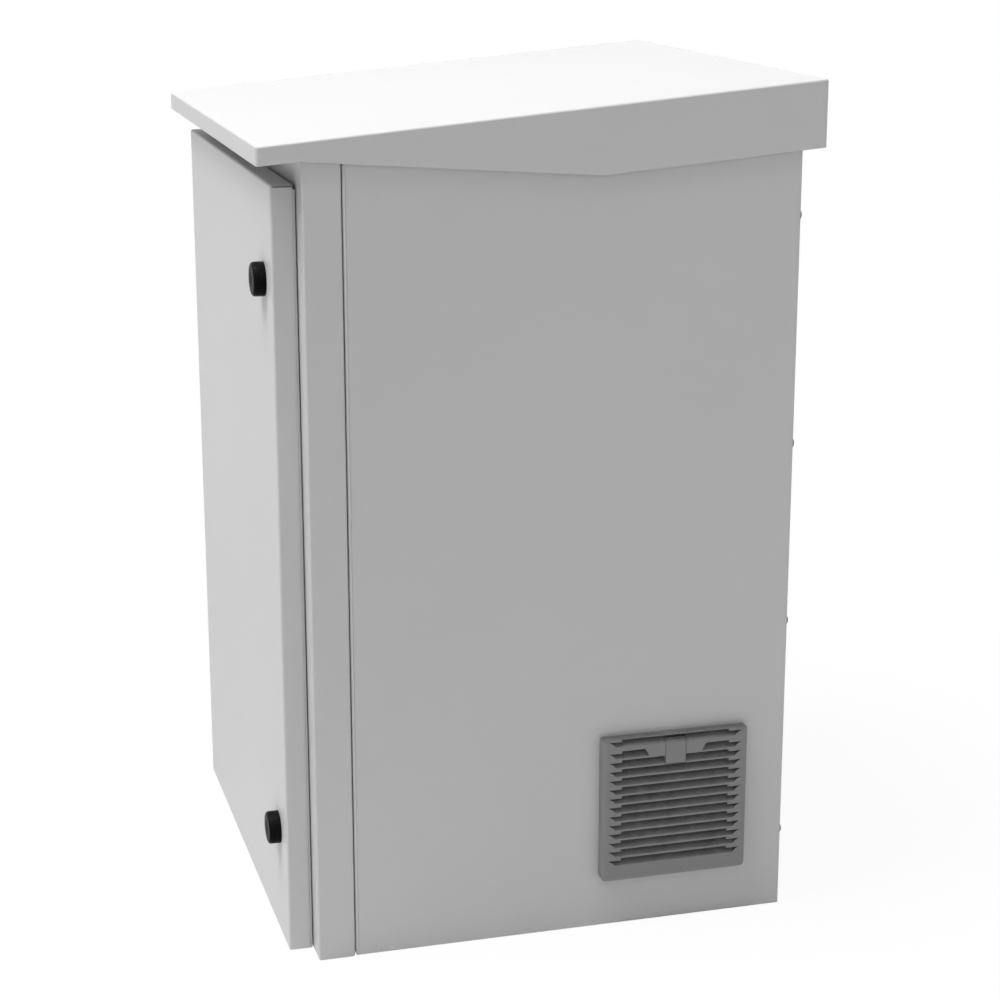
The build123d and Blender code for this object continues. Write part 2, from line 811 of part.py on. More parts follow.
def door_hinge(mid_z):
    """Hinge half on the door: a side pad with an outer knuckle at each end."""
    knuckle = hinge_height / 2 - hinge_mid_knuckle / 2 - moving_gap
    with BuildPart() as half:
        with BuildSketch(facing_right(-door_edge_x)):
            with Locations((hinge_y, mid_z)):
                Rectangle(hinge_pad_depth, hinge_height)
        extrude(amount=-hinge_pad)
        for low_z in (mid_z - hinge_height / 2, mid_z + hinge_height / 2 - knuckle):
            with BuildSketch(level(low_z)):
                with Locations((hinge_x, hinge_y)):
                    Circle(hinge_knuckle_radius)
                    Rectangle(hinge_offset - hinge_pad, hinge_arm, align=(Align.MIN, Align.CENTER))
            extrude(amount=knuckle)
        with BuildSketch(level(mid_z - hinge_height / 2)):
            with Locations((hinge_x, hinge_y)):
                Circle(hinge_pin_radius + running_gap)
        extrude(amount=hinge_height, mode=Mode.SUBTRACT)
    return half.part


def hinge_pin(mid_z):
    """Headed pin through all three knuckles."""
    with BuildPart() as pin:
        with BuildSketch(level(mid_z - hinge_height / 2)):
            with Locations((hinge_x, hinge_y)):
                Circle(hinge_pin_radius)
        extrude(amount=hinge_height)
        with BuildSketch(level(mid_z + hinge_height / 2)):
            with Locations((hinge_x, hinge_y)):
                Circle(hinge_pin_head_radius)
        extrude(amount=hinge_pin_head_height)
    return pin.part


for hinge_z, hinge_name in ((lower_lock_z, "lower"), (upper_lock_z, "upper")):
    frame_half = frame_hinge(hinge_z)
    write(frame_half, f"{hinge_name}_frame_hinge")
    door_half = door_hinge(hinge_z)
    write(door_half, f"{hinge_name}_door_hinge")
    pin = hinge_pin(hinge_z)
    write(pin, f"{hinge_name}_hinge_pin")

# Lock housings: round heads outside the door, barrels through it
with BuildPart() as lock_housings:
    with BuildSketch(facing_front(door_front_y)):
        with Locations(*lock_places):
            Circle(lock_head_radius)
    extrude(amount=lock_head_height)
    chamfer(lock_housings.edges().group_by(Axis.Y)[0], lock_head_chamfer)
    with BuildSketch(facing_front(barrel_end_y)):
        with Locations(*lock_places):
            Circle(lock_barrel_radius)
    extrude(amount=lock_barrel_length)
    with BuildSketch(facing_front(barrel_end_y)):
        with Locations(*lock_places):
            Circle(lock_core_radius + running_gap)
    extrude(amount=lock_barrel_length + lock_head_height, mode=Mode.SUBTRACT)
write(lock_housings.part, "lock_housings")

with BuildPart() as lock_nuts:
    with BuildSketch(facing_front(door_inner_y + lock_nut_height)):
        with Locations(*lock_places):
            RegularPolygon(lock_nut_width / 2, 6, major_radius=False)
            Circle(lock_barrel_radius + hole_gap, mode=Mode.SUBTRACT)
    extrude(amount=lock_nut_height)
write(lock_nuts.part, "lock_nuts")


def lock_core(mid_z):
    """Turning core: key slot in front, collar and square end behind."""
    core_face_y = lock_face_y + lock_core_recess
    collar_y = barrel_end_y + moving_gap
    with BuildPart() as core:
        with BuildSketch(facing_front(collar_y)):
            with Locations((lock_x, mid_z)):
                Circle(lock_core_radius)
        extrude(amount=collar_y - core_face_y)
        with BuildSketch(facing_front(cam_front_y)):
            with Locations((lock_x, mid_z)):
                Circle(lock_collar_radius)
        extrude(amount=cam_front_y - collar_y)
        with BuildSketch(facing_front(cam_back_y)):
            with Locations((lock_x, mid_z)):
                Rectangle(lock_square, lock_square)
        extrude(amount=cam_thickness)
        with BuildSketch(facing_front(core_face_y)):
            with Locations((lock_x, mid_z)):
                SlotOverall(lock_slot_length, lock_slot_width, rotation=90)
        extrude(amount=-lock_slot_depth, mode=Mode.SUBTRACT)
        with BuildSketch(facing_front(cam_back_y)):
            with Locations((lock_x, mid_z)):
                Circle(cam_bolt_radius + hole_gap)
        extrude(amount=cam_bolt_length, mode=Mode.SUBTRACT)
    return core.part


def lock_cam(mid_z):
    """Cam on the square end, pointing up while the lock is open."""
    with BuildPart() as cam:
        with BuildSketch(facing_front(cam_back_y)):
            with Locations((lock_x, mid_z)):
                Circle(cam_width / 2)
                Rectangle(cam_width, cam_reach, align=(Align.CENTER, Align.MIN))
                Rectangle(lock_square + hole_gap, lock_square + hole_gap, mode=Mode.SUBTRACT)
        extrude(amount=cam_thickness)
        chamfer(cam.edges().filter_by(Axis.Y).group_by(Axis.Z)[-1], cam_thickness)
    return cam.part


def cam_bolt(mid_z):
    """Bolt that holds the cam on the core."""
    with BuildPart() as bolt:
        with BuildSketch(facing_front(cam_back_y)):
            with Locations((lock_x, mid_z)):
                Circle(cam_head_radius)
        extrude(amount=-cam_head_height)
        with BuildSketch(facing_front(cam_back_y)):
            with Locations((lock_x, mid_z)):
                Circle(cam_bolt_radius)
        extrude(amount=cam_bolt_length)
    return bolt.part


for lock_z, lock_name in ((lower_lock_z, "lower"), (upper_lock_z, "upper")):
    core = lock_core(lock_z)
    write(core, f"{lock_name}_lock_core")
    cam = lock_cam(lock_z)
    write(cam, f"{lock_name}_lock_cam")
    bolt = cam_bolt(lock_z)
    write(bolt, f"{lock_name}_cam_bolt")

# Equipment rails: angles with three square holes in each height unit
brace_levels = (lower_brace_z, upper_brace_z)
rail_screw_y = rail_front_y + rail_return / 2
rail_screw_levels = [
    low_z + brace_height / 2 + up * rail_screw_spacing / 2 for low_z in brace_levels for up in (-1, 1)
]
rail_hole_levels = [
    rail_base + rail_first_hole + unit * rail_unit_height + row * rail_hole_pitch
    for unit in range(rail_units)
    for row in range(3)
]
for side, side_name in ((-1, "left"), (1, "right")):
    with BuildPart() as equipment_rail:
        with BuildSketch(level(rail_base)):
            with Locations((side * rail_outer_x, rail_front_y)):
                Rectangle(
                    rail_face,
                    rail_sheet,
                    align=(Align.MAX if side > 0 else Align.MIN, Align.MIN),
                )
                Rectangle(
                    rail_sheet,
                    rail_return,
                    align=(Align.MAX if side > 0 else Align.MIN, Align.MIN),
                )
        extrude(amount=rail_height)
        with BuildSketch(facing_front(rail_front_y)):
            with Locations(*[(side * rail_mid_x, z) for z in rail_hole_levels]):
                Rectangle(rail_hole, rail_hole)
        extrude(amount=-rail_sheet, mode=Mode.SUBTRACT)
        with BuildSketch(facing_right(side * rail_outer_x)):
            with Locations(*[(rail_screw_y, z) for z in rail_screw_levels]):
                Circle(rail_screw_radius + hole_gap)
        extrude(amount=-side * rail_sheet, mode=Mode.SUBTRACT)
    write(equipment_rail.part, f"{side_name}_equipment_rail")

# Depth braces: channels between the front and back flanges of the side panels
for low_z, level_name in ((lower_brace_z, "lower"), (upper_brace_z, "upper")):
    for side, side_name in ((-1, "left"), (1, "right")):
        with BuildPart() as brace:
            with BuildSketch(facing_front(brace_front_y)):
                with Locations((side * rail_outer_x, low_z)):
                    Rectangle(
                        brace_reach,
                        brace_height,
                        align=(Align.MIN if side > 0 else Align.MAX, Align.MIN),
                    )
                with Locations((side * (rail_outer_x + rail_sheet), low_z + rail_sheet)):
                    Rectangle(
                        brace_reach,
                        brace_height - 2 * rail_sheet,
                        align=(Align.MIN if side > 0 else Align.MAX, Align.MIN),
                        mode=Mode.SUBTRACT,
                    )
            extrude(amount=brace_front_y - brace_back_y)
            with BuildSketch(facing_right(side * rail_outer_x)):
                with Locations(*[(rail_screw_y, z) for z in rail_screw_levels]):
                    Circle(rail_screw_radius + hole_gap)
            extrude(amount=side * rail_sheet, mode=Mode.SUBTRACT)
        write(brace.part, f"{level_name}_{side_name}_brace")

# Screws that hold the rails on the braces
rail_inner_x = rail_outer_x - rail_sheet
with BuildPart() as rail_screws:
    for side in (-1, 1):
        with BuildSketch(facing_right(side * rail_inner_x)):
            with Locations(*[(rail_screw_y, z) for z in rail_screw_levels]):
                Circle(rail_head_radius)
        extrude(amount=-side * rail_head_height)
        with BuildSketch(facing_right(side * rail_inner_x)):
            with Locations(*[(rail_screw_y, z) for z in rail_screw_levels]):
                Circle(rail_screw_radius)
        extrude(amount=side * 2 * rail_sheet)
write(rail_screws.part, "rail_screws")

# Filter housing: flange outside, square collar through the panel, back wall for the fan
flange_base_z = filter_z - housing_flange_drop
flange_top_z = filter_z + housing_flange / 2
ear_outer = cover_inner_half - moving_gap
ear_middles = [filter_y + side * (ear_outer - ear_width / 2) for side in (-1, 1)]
fan_screw_places = [
    (filter_y + a * fan_screw_spacing / 2, filter_z + b * fan_screw_spacing / 2)
    for a in (-1, 1)
    for b in (-1, 1)
]
with BuildPart() as filter_housing:
    with BuildSketch(facing_right(side_x)):
        with Locations((filter_y, (flange_base_z + flange_top_z) / 2)):
            Rectangle(housing_flange, flange_top_z - flange_base_z)
        for ear_y in ear_middles:
            with Locations((ear_y, flange_base_z)):
                Rectangle(ear_width, ear_height, align=(Align.CENTER, Align.MIN))
    extrude(amount=housing_flange_thickness)
    with BuildSketch(facing_right(side_x)):
        with Locations((filter_y, filter_z)):
            Rectangle(collar_size, collar_size)
    extrude(amount=-collar_depth)
    with BuildSketch(facing_right(side_x + housing_flange_thickness)):
        with Locations((filter_y, filter_z)):
            Rectangle(collar_size - 2 * collar_wall, collar_size - 2 * collar_wall)
    extrude(amount=-(housing_flange_thickness + collar_depth - collar_wall), mode=Mode.SUBTRACT)
    with BuildSketch(facing_right(collar_back_x)):
        with Locations((filter_y, filter_z)):
            Circle(housing_air_radius)
        with Locations(*fan_screw_places):
            Circle(fan_screw_radius + hole_gap)
    extrude(amount=collar_wall, mode=Mode.SUBTRACT)
    for ear_y in ear_middles:
        with BuildSketch(facing_front(ear_y + ear_width / 2)):
            with Locations((cover_axis_x, cover_axis_z)):
                Circle(ear_radius)
                Rectangle(2 * ear_radius, ear_height, align=(Align.CENTER, Align.MIN))
            with Locations((side_x, cover_axis_z + ear_height)):
                Rectangle(
                    cover_axis_out,
                    cover_axis_z + ear_height - flange_base_z,
                    align=(Align.MIN, Align.MAX),
                )
            with Locations((cover_axis_x, cover_axis_z)):
                Circle(trunnion_radius + running_gap, mode=Mode.SUBTRACT)
        extrude(amount=ear_width)
write(filter_housing.part, "filter_housing")

# Filter mat on the housing's back wall
mat_size = collar_size - 2 * collar_wall - 2 * mat_gap
with BuildPart() as filter_mat:
    with BuildSketch(facing_right(collar_back_x + collar_wall)):
        with Locations((filter_y, filter_z)):
            Rectangle(mat_size, mat_size)
    extrude(amount=mat_thickness)
write(filter_mat.part, "filter_mat")

# Fan frame: square ring, struts, motor plate and shaft
with BuildPart() as fan_frame:
    with BuildSketch(facing_right(fan_back_x)):
        with Locations((filter_y, filter_z)):
            RectangleRounded(fan_size, fan_size, fan_corner_radius)
            Circle(fan_bore_radius, mode=Mode.SUBTRACT)
        with Locations(*fan_screw_places):
            Circle(fan_screw_radius + hole_gap, mode=Mode.SUBTRACT)
    extrude(amount=fan_depth)
    with BuildSketch(facing_right(fan_back_x)):
        with Locations((filter_y, filter_z)):
            Circle(fan_motor_radius)
            Rectangle(2 * fan_bore_radius, fan_strut_width, rotation=45)
            Rectangle(2 * fan_bore_radius, fan_strut_width, rotation=-45)
    extrude(amount=fan_motor_depth)
    with BuildSketch(facing_right(fan_back_x + fan_motor_depth)):
        with Locations((filter_y, filter_z)):
            Circle(fan_shaft_radius)
    extrude(amount=fan_shaft_length)
write(fan_frame.part, "fan_frame")

# Fan rotor: hub on the shaft and twisted blades
rotor_back_x = fan_back_x + fan_motor_depth + moving_gap
rotor_mid_x = rotor_back_x + fan_hub_depth / 2
blade_tip_radius = fan_bore_radius - fan_tip_gap
with BuildPart() as fan_rotor:
    with BuildSketch(facing_right(rotor_back_x)):
        with Locations((filter_y, filter_z)):
            Circle(fan_hub_radius)
    extrude(amount=fan_hub_depth)
    for i in range(fan_blades):
        turn = math.radians(360 * i / fan_blades)
        outward = Vector(0, math.cos(turn), math.sin(turn))
        centre = Vector(rotor_mid_x, filter_y, filter_z)
        root = Plane(origin=centre + outward * (fan_hub_radius - fan_tip_gap), x_dir=(1, 0, 0), z_dir=outward)
        tip = Plane(origin=centre + outward * blade_tip_radius, x_dir=(1, 0, 0), z_dir=outward)
        with BuildSketch(root):
            Rectangle(fan_root_chord, fan_blade_thickness, rotation=fan_root_angle)
        with BuildSketch(tip):
            Rectangle(fan_tip_chord, fan_blade_thickness, rotation=90 - fan_tip_angle)
        loft()
    with BuildSketch(facing_right(rotor_back_x)):
        with Locations((filter_y, filter_z)):
            Circle(fan_shaft_radius + running_gap)
    extrude(amount=fan_shaft_length, mode=Mode.SUBTRACT)
write(fan_rotor.part, "fan_rotor")

# Screws that hold the fan on the housing
with BuildPart() as fan_screws:
    with BuildSketch(facing_right(fan_back_x)):
        with Locations(*fan_screw_places):
            Circle(fan_head_radius)
    extrude(amount=-fan_head_height)
    with BuildSketch(facing_right(fan_back_x)):
        with Locations(*fan_screw_places):
            Circle(fan_screw_radius)
    extrude(amount=fan_depth + collar_wall)
write(fan_screws.part, "fan_screws")


def curved_outline(low_z, high_z, half_bottom, half_top, bulge):
    """Edges of an outline on the cover: long top, short bottom and hollow curved ends."""
    mid_half = (half_top + half_bottom) / 2 - bulge
    mid_z = (low_z + high_z) / 2
    with BuildLine() as outline:
        Line((filter_y - half_top, high_z), (filter_y + half_top, high_z))
        ThreePointArc(
            (filter_y + half_top, high_z),
            (filter_y + mid_half, mid_z),
            (filter_y + half_bottom, low_z),
        )
        Line((filter_y + half_bottom, low_z), (filter_y - half_bottom, low_z))
        ThreePointArc(
            (filter_y - half_bottom, low_z),
            (filter_y - mid_half, mid_z),
            (filter_y - half_top, high_z),
        )
    return outline.edges()


# Louvre openings: scoops that end on sloped slats, with air gaps above the slopes
gap_height = slat_pitch - slat_edge - slat_rise
finger_plate = curved_outline(slat_lows[-1], top_recess_low, wing_half_bottom, wing_half_top, wing_bulge)
with BuildPart() as louvre_cut:
    with BuildSketch(facing_right(cover_front_x)):
        for low_z in slat_lows + [top_recess_low]:
            scoop_ends = (scoop_half_bottom, scoop_half_top, scoop_bulge)
            make_face(curved_outline(low_z, low_z + slat_rise, *scoop_ends))
        make_face(finger_plate, mode=Mode.SUBTRACT)
    extrude(amount=-louvre_depth)
    with BuildSketch(facing_front(filter_y)):
        for low_z in slat_lows + [top_recess_low]:
            Polygon(
                (cover_front_x, low_z),
                (louvre_back_x, low_z),
                (louvre_back_x, low_z + slat_rise),
                align=None,
            )
    extrude(amount=scoop_half_top, both=True, mode=Mode.SUBTRACT)
    with BuildSketch(facing_right(cover_front_x)):
        for low_z in slat_lows:
            with Locations((filter_y, low_z + slat_rise)):
                Rectangle(2 * gap_half, gap_height, align=(Align.CENTER, Align.MIN))
        with Locations((filter_y, top_recess_low + slat_rise)):
            Rectangle(
                2 * gap_half,
                top_recess_height - slat_rise,
                align=(Align.CENTER, Align.MIN),
            )
        make_face(finger_plate, mode=Mode.SUBTRACT)
    extrude(amount=-louvre_depth)

# Cover: moulded cap with a rounded chin, hollow behind, with hinge trunnions at its foot
with BuildPart() as filter_cover:
    with BuildSketch(facing_right(cover_back_x)) as cover_outline:
        with Locations((filter_y, filter_z)):
            Rectangle(cover_size, cover_size)
        fillet(cover_outline.vertices().group_by(Axis.Y)[0], cover_bottom_radius)
        fillet(cover_outline.vertices().group_by(Axis.Y)[-1], cover_top_radius)
    extrude(amount=cover_depth)
    with BuildSketch(facing_front(filter_y)) as cover_section:
        with Locations((cover_back_x, cover_base_z)):
            Rectangle(cover_depth, cover_size, align=(Align.MIN, Align.MIN))
        fillet(cover_section.vertices().group_by(Axis.X)[-1].sort_by(Axis.Y)[0], cover_chin_round)
        fillet(cover_section.vertices().group_by(Axis.X)[-1].sort_by(Axis.Y)[-1], cover_edge_round)
    extrude(amount=cover_size, both=True, mode=Mode.INTERSECT)
    with BuildSketch(facing_right(cover_back_x)):
        with Locations((filter_y, filter_z)):
            RectangleRounded(2 * cover_inner_half, 2 * cover_inner_half, cover_wall)
    extrude(amount=louvre_back_x - cover_back_x, mode=Mode.SUBTRACT)
    with BuildSketch(facing_right(cover_back_x)):
        with Locations((filter_y, filter_z - cover_inner_half)):
            Rectangle(
                2 * cover_inner_half - 2 * cover_bottom_radius,
                chin_pocket_height,
                align=(Align.CENTER, Align.MIN),
            )
        for ear_y in ear_middles:
            with Locations((ear_y, filter_z - cover_inner_half)):
                Rectangle(ear_width + 2 * moving_gap, chin_pocket_height, align=(Align.CENTER, Align.MIN))
    extrude(amount=cover_depth - cover_wall - cover_wall, mode=Mode.SUBTRACT)
    with BuildSketch(facing_front(filter_y)):
        with Locations((cover_back_x, cover_base_z)):
            Rectangle(
                cover_axis_out - cover_lift - ear_radius + hole_gap,
                cover_axis_above,
                align=(Align.MIN, Align.MIN),
            )
    extrude(amount=cover_size, both=True, mode=Mode.SUBTRACT)
    add(louvre_cut.part, mode=Mode.SUBTRACT)
    with BuildSketch(facing_right(louvre_back_x)):
        with Locations((filter_y, tab_low_z - tab_gap)):
            Rectangle(
                tab_width + 2 * tab_gap,
                top_recess_low + slat_rise - tab_low_z + tab_gap,
                align=(Align.CENTER, Align.MIN),
            )
    extrude(amount=louvre_depth, mode=Mode.SUBTRACT)
    with BuildSketch(facing_front(filter_y)):
        with Locations((tab_axis_x, tab_axis_z)):
            Circle(tab_pin_radius + running_gap)
    extrude(amount=tab_width / 2 + tab_gap + tab_pin_length, both=True, mode=Mode.SUBTRACT)
    for side in (-1, 1):
        with BuildSketch(facing_front(filter_y + side * cover_inner_half)):
            with Locations((cover_axis_x, cover_axis_z)):
                Circle(trunnion_radius)
        extrude(amount=side * trunnion_length)
write(filter_cover.part, "filter_cover")

# Pull tab: tongue flush with the cover, bent back along the top recess, on two small pins
with BuildPart() as cover_tab:
    with BuildSketch(facing_front(filter_y)):
        Polygon(
            (cover_front_x, tab_low_z),
            (cover_front_x, top_recess_low),
            (tab_axis_x, top_recess_low + tab_axis_in * slat_rise / louvre_depth),
            (tab_axis_x - tab_thickness / 2, tab_axis_z),
            (cover_front_x - tab_thickness, tab_axis_z - tab_thickness),
            (cover_front_x - tab_thickness, tab_low_z),
            align=None,
        )
    extrude(amount=tab_width / 2, both=True)
    with BuildSketch(facing_front(filter_y)):
        with Locations((tab_axis_x, tab_axis_z)):
            Circle(tab_pin_radius)
    extrude(amount=tab_width / 2 + tab_pin_length, both=True)
write(cover_tab.part, "cover_tab")
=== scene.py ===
# %% [markdown]
# # A roadside utility cabinet, dressed for a studio picture
# The cabinet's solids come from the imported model: folded sheet panels, a sloped roof, a door with two
# round locks and a louvred filter unit. They are loaded as a fixed frame and never moved. This lesson
# gives them a camera, light and finishes, and makes the small and soft pieces that plain solids can't show.

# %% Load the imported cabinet
import bpy
import bmesh
import json
import math
import random
from mathutils import Matrix, Vector, noise


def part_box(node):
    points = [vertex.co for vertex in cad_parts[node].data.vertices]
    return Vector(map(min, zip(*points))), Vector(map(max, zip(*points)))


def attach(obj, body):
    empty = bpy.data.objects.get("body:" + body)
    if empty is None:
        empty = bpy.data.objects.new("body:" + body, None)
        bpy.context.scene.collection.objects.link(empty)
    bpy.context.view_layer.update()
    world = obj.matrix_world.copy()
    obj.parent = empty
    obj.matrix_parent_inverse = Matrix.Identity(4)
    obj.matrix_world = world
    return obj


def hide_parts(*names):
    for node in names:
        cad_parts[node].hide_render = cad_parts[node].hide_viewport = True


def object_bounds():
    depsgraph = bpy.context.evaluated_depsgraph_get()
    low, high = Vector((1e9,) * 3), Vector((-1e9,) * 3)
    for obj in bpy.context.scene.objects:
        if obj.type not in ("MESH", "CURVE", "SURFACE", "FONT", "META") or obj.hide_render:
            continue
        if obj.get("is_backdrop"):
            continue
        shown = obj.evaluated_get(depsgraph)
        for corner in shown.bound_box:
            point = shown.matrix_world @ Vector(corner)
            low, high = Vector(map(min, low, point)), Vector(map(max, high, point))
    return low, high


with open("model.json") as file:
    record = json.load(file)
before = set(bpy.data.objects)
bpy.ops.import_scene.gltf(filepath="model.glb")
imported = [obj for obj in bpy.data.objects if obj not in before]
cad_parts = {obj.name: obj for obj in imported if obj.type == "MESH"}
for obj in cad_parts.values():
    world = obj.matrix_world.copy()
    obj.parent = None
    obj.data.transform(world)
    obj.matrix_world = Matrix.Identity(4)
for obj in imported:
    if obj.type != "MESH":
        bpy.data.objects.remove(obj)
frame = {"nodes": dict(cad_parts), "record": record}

MM = 0.001
nodes = frame["nodes"]
cad_low, cad_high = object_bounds()
print("cabinet of", len(nodes), "nodes, size in mm:", [round(x / MM, 1) for x in cad_high - cad_low])

# %% [markdown]
# The picture was taken from the right front, a little above the roof's front edge, with a long lens.
# Its place was found by fitting the corners of the panels, so it is written as a position and three
# directions. A camera looks along its own -Z, so the third column of its matrix points backwards.

# %% Camera
scene = bpy.context.scene
camera_data = bpy.data.cameras.new("studio_camera")
camera = bpy.data.objects.new("studio_camera", camera_data)
scene.collection.objects.link(camera)
scene.camera = camera
look = Vector((-0.92903833, 0.26198605, -0.26124909)).normalized()
right = look.cross(Vector((0, 0, 1))).normalized()
up = right.cross(look)
camera.matrix_world = Matrix.Translation((2.5150, -0.6832, 1.1264)) @ Matrix((right, up, -look)).transposed().to_4x4()
camera_data.sensor_width = 36.0
camera_data.lens = 82.381
camera_data.shift_x = -0.00387
camera_data.shift_y = -0.00488
camera_data.clip_end = 60.0
print("camera", round(math.degrees(math.asin(-look.z)), 1), "degrees above the horizon")

# %% [markdown]
# Shader trees are easier to read when a node is made in one line, so two helpers come first. The first
# makes a node and fills in its sockets and settings. The second starts a node group with named sockets,
# which is how one effect is shared by several finishes.


# %% Helpers for shader trees
def add_node(tree, kind, sockets=None, **settings):
    """A new node with the given socket values and settings."""
    made = tree.nodes.new(kind)
    for key, value in settings.items():
        setattr(made, key, value)
    for key, value in (sockets or {}).items():
        made.inputs[key].default_value = value
    return made


def new_group(name, inputs, outputs):
    """An empty node group with float, colour or vector sockets; returns the tree and its two ends."""
    kinds = {"value": "NodeSocketFloat", "colour": "NodeSocketColor", "vector": "NodeSocketVector"}
    tree = bpy.data.node_groups.new(name, "ShaderNodeTree")
    for socket, kind in inputs.items():
        tree.interface.new_socket(socket, in_out="INPUT", socket_type=kinds[kind])
    for socket, kind in outputs.items():
        tree.interface.new_socket(socket, in_out="OUTPUT", socket_type=kinds[kind])
    return tree, tree.nodes.new("NodeGroupInput"), tree.nodes.new("NodeGroupOutput")


def place_group(tree, group, **values):
    """A copy of a node group in a material, with its own values; underscores stand for spaces."""
    made = tree.nodes.new("ShaderNodeGroup")
    made.node_tree = group
    for key, value in values.items():
        made.inputs[key.replace("_", " ")].default_value = value
    return made


# %% [markdown]
# The studio is a pale floor in a bright room. In the picture everything behind the cabinet is white, so the
# world and the floor show white to the camera and to mirror-like rays. What lights the cabinet is another
# matter: the world gives only a weak fill, and the softboxes below do the rest.


# %% World
def sees_white(tree):
    """A mask that is 1 for rays from the camera, from gloss and from glass."""
    path = add_node(tree, "ShaderNodeLightPath")
    seen = add_node(tree, "ShaderNodeMath", operation="MAXIMUM")
    mask = add_node(tree, "ShaderNodeMath", operation="MAXIMUM")
    tree.links.new(path.outputs["Is Camera Ray"], seen.inputs[0])
    tree.links.new(path.outputs["Is Glossy Ray"], seen.inputs[1])
    tree.links.new(seen.outputs[0], mask.inputs[0])
    tree.links.new(path.outputs["Is Transmission Ray"], mask.inputs[1])
    return mask.outputs[0]


world = bpy.data.worlds.new("white_room")
scene.world = world
world.use_nodes = True
tree = world.node_tree
tree.nodes.clear()
fill = add_node(tree, "ShaderNodeBackground", {"Color": (1, 1, 1, 1), "Strength": 0.12})
white = add_node(tree, "ShaderNodeBackground", {"Color": (1, 1, 1, 1), "Strength": 1.0})
choose = add_node(tree, "ShaderNodeMixShader")
out = add_node(tree, "ShaderNodeOutputWorld")
tree.links.new(sees_white(tree), choose.inputs[0])
tree.links.new(fill.outputs[0], choose.inputs[1])
tree.links.new(white.outputs[0], choose.inputs[2])
tree.links.new(choose.outputs[0], out.inputs["Surface"])
scene.view_settings.view_transform = "Standard"

# %% [markdown]
# The floor is one large square. To the camera it is mostly white glow with a thin share of its own shading,
# so a faint soft shadow stays round the base, and further out it fades into the white of the room. To the
# light that bounces it is a plain pale floor, which lights the lower half of the panels from below.

# %% Floor
floor_half = 14.0
floor_mesh = bpy.data.meshes.new("floor")
corners = [(-floor_half, -floor_half), (floor_half, -floor_half), (floor_half, floor_half), (-floor_half, floor_half)]
floor_mesh.from_pydata([(x, y, -0.0002) for x, y in corners], [], [(0, 1, 2, 3)])
floor = bpy.data.objects.new("floor", floor_mesh)
scene.collection.objects.link(floor)
floor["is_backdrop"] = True
floor_paint = bpy.data.materials.new("pale_floor")
floor_paint.use_nodes = True
tree = floor_paint.node_tree
tree.nodes.clear()
place = add_node(tree, "ShaderNodeTexCoord")
reach = add_node(tree, "ShaderNodeVectorMath", operation="LENGTH")
far = add_node(tree, "ShaderNodeMapRange", {"From Min": 0.45, "From Max": 1.1}, interpolation_type="SMOOTHSTEP")
thin = add_node(tree, "ShaderNodeBsdfDiffuse", {"Color": (0.05, 0.05, 0.05, 1)})
glow = add_node(tree, "ShaderNodeEmission", {"Color": (1, 1, 1, 1), "Strength": 0.945})
near_floor = add_node(tree, "ShaderNodeAddShader")
far_floor = add_node(tree, "ShaderNodeEmission", {"Color": (1, 1, 1, 1), "Strength": 1.0})
shown = add_node(tree, "ShaderNodeMixShader")
matt = add_node(tree, "ShaderNodeBsdfDiffuse", {"Color": (0.74, 0.74, 0.74, 1)})
choose = add_node(tree, "ShaderNodeMixShader")
out = add_node(tree, "ShaderNodeOutputMaterial")
tree.links.new(place.outputs["Object"], reach.inputs[0])
tree.links.new(reach.outputs["Value"], far.inputs["Value"])
tree.links.new(thin.outputs[0], near_floor.inputs[0])
tree.links.new(glow.outputs[0], near_floor.inputs[1])
tree.links.new(far.outputs[0], shown.inputs[0])
tree.links.new(near_floor.outputs[0], shown.inputs[1])
tree.links.new(far_floor.outputs[0], shown.inputs[2])
tree.links.new(sees_white(tree), choose.inputs[0])
tree.links.new(matt.outputs[0], choose.inputs[1])
tree.links.new(shown.outputs[0], choose.inputs[2])
tree.links.new(choose.outputs[0], out.inputs["Surface"])
floor_mesh.materials.append(floor_paint)

# %% [markdown]
# The floor's bounce gives the sides their even tone, and the softboxes add the rest. The key hangs high in front
# and one is nearly overhead, so the roof is the brightest face, the door comes next, and the overhang shades
# the top of the door. One high on the right draws the soft shadows under the skirt and the filter cover, and
# a weak one low at the rear keeps the far end of the side from falling off.


# %% Softboxes
def softbox(name, place, target, size, watts):
    """A square area lamp at a place, turned to a target, that the camera doesn't see."""
    data = bpy.data.lights.new(name, "AREA")
    data.shape = "SQUARE"
    data.size = size
    data.energy = watts
    lamp = bpy.data.objects.new(name, data)
    scene.collection.objects.link(lamp)
    lamp.location = place
    lamp.rotation_mode = "QUATERNION"
    lamp.rotation_quaternion = (Vector(target) - Vector(place)).to_track_quat("-Z", "Y")
    lamp.visible_camera = False
    return lamp


middle = (0.0, 0.0, 0.45)
key_light = softbox("key_softbox", (0.4, -3.3, 5.6), middle, 3.2, 200.0)
top_light = softbox("top_softbox", (0.1, -1.4, 6.6), middle, 3.0, 312.0)
right_light = softbox("right_softbox", (3.8, -0.2, 4.6), middle, 2.0, 31.0)
rear_light = softbox("rear_softbox", (1.7, 1.7, 0.35), middle, 0.9, 3.0)
print("softboxes", [lamp.name for lamp in (key_light, top_light, right_light, rear_light)])
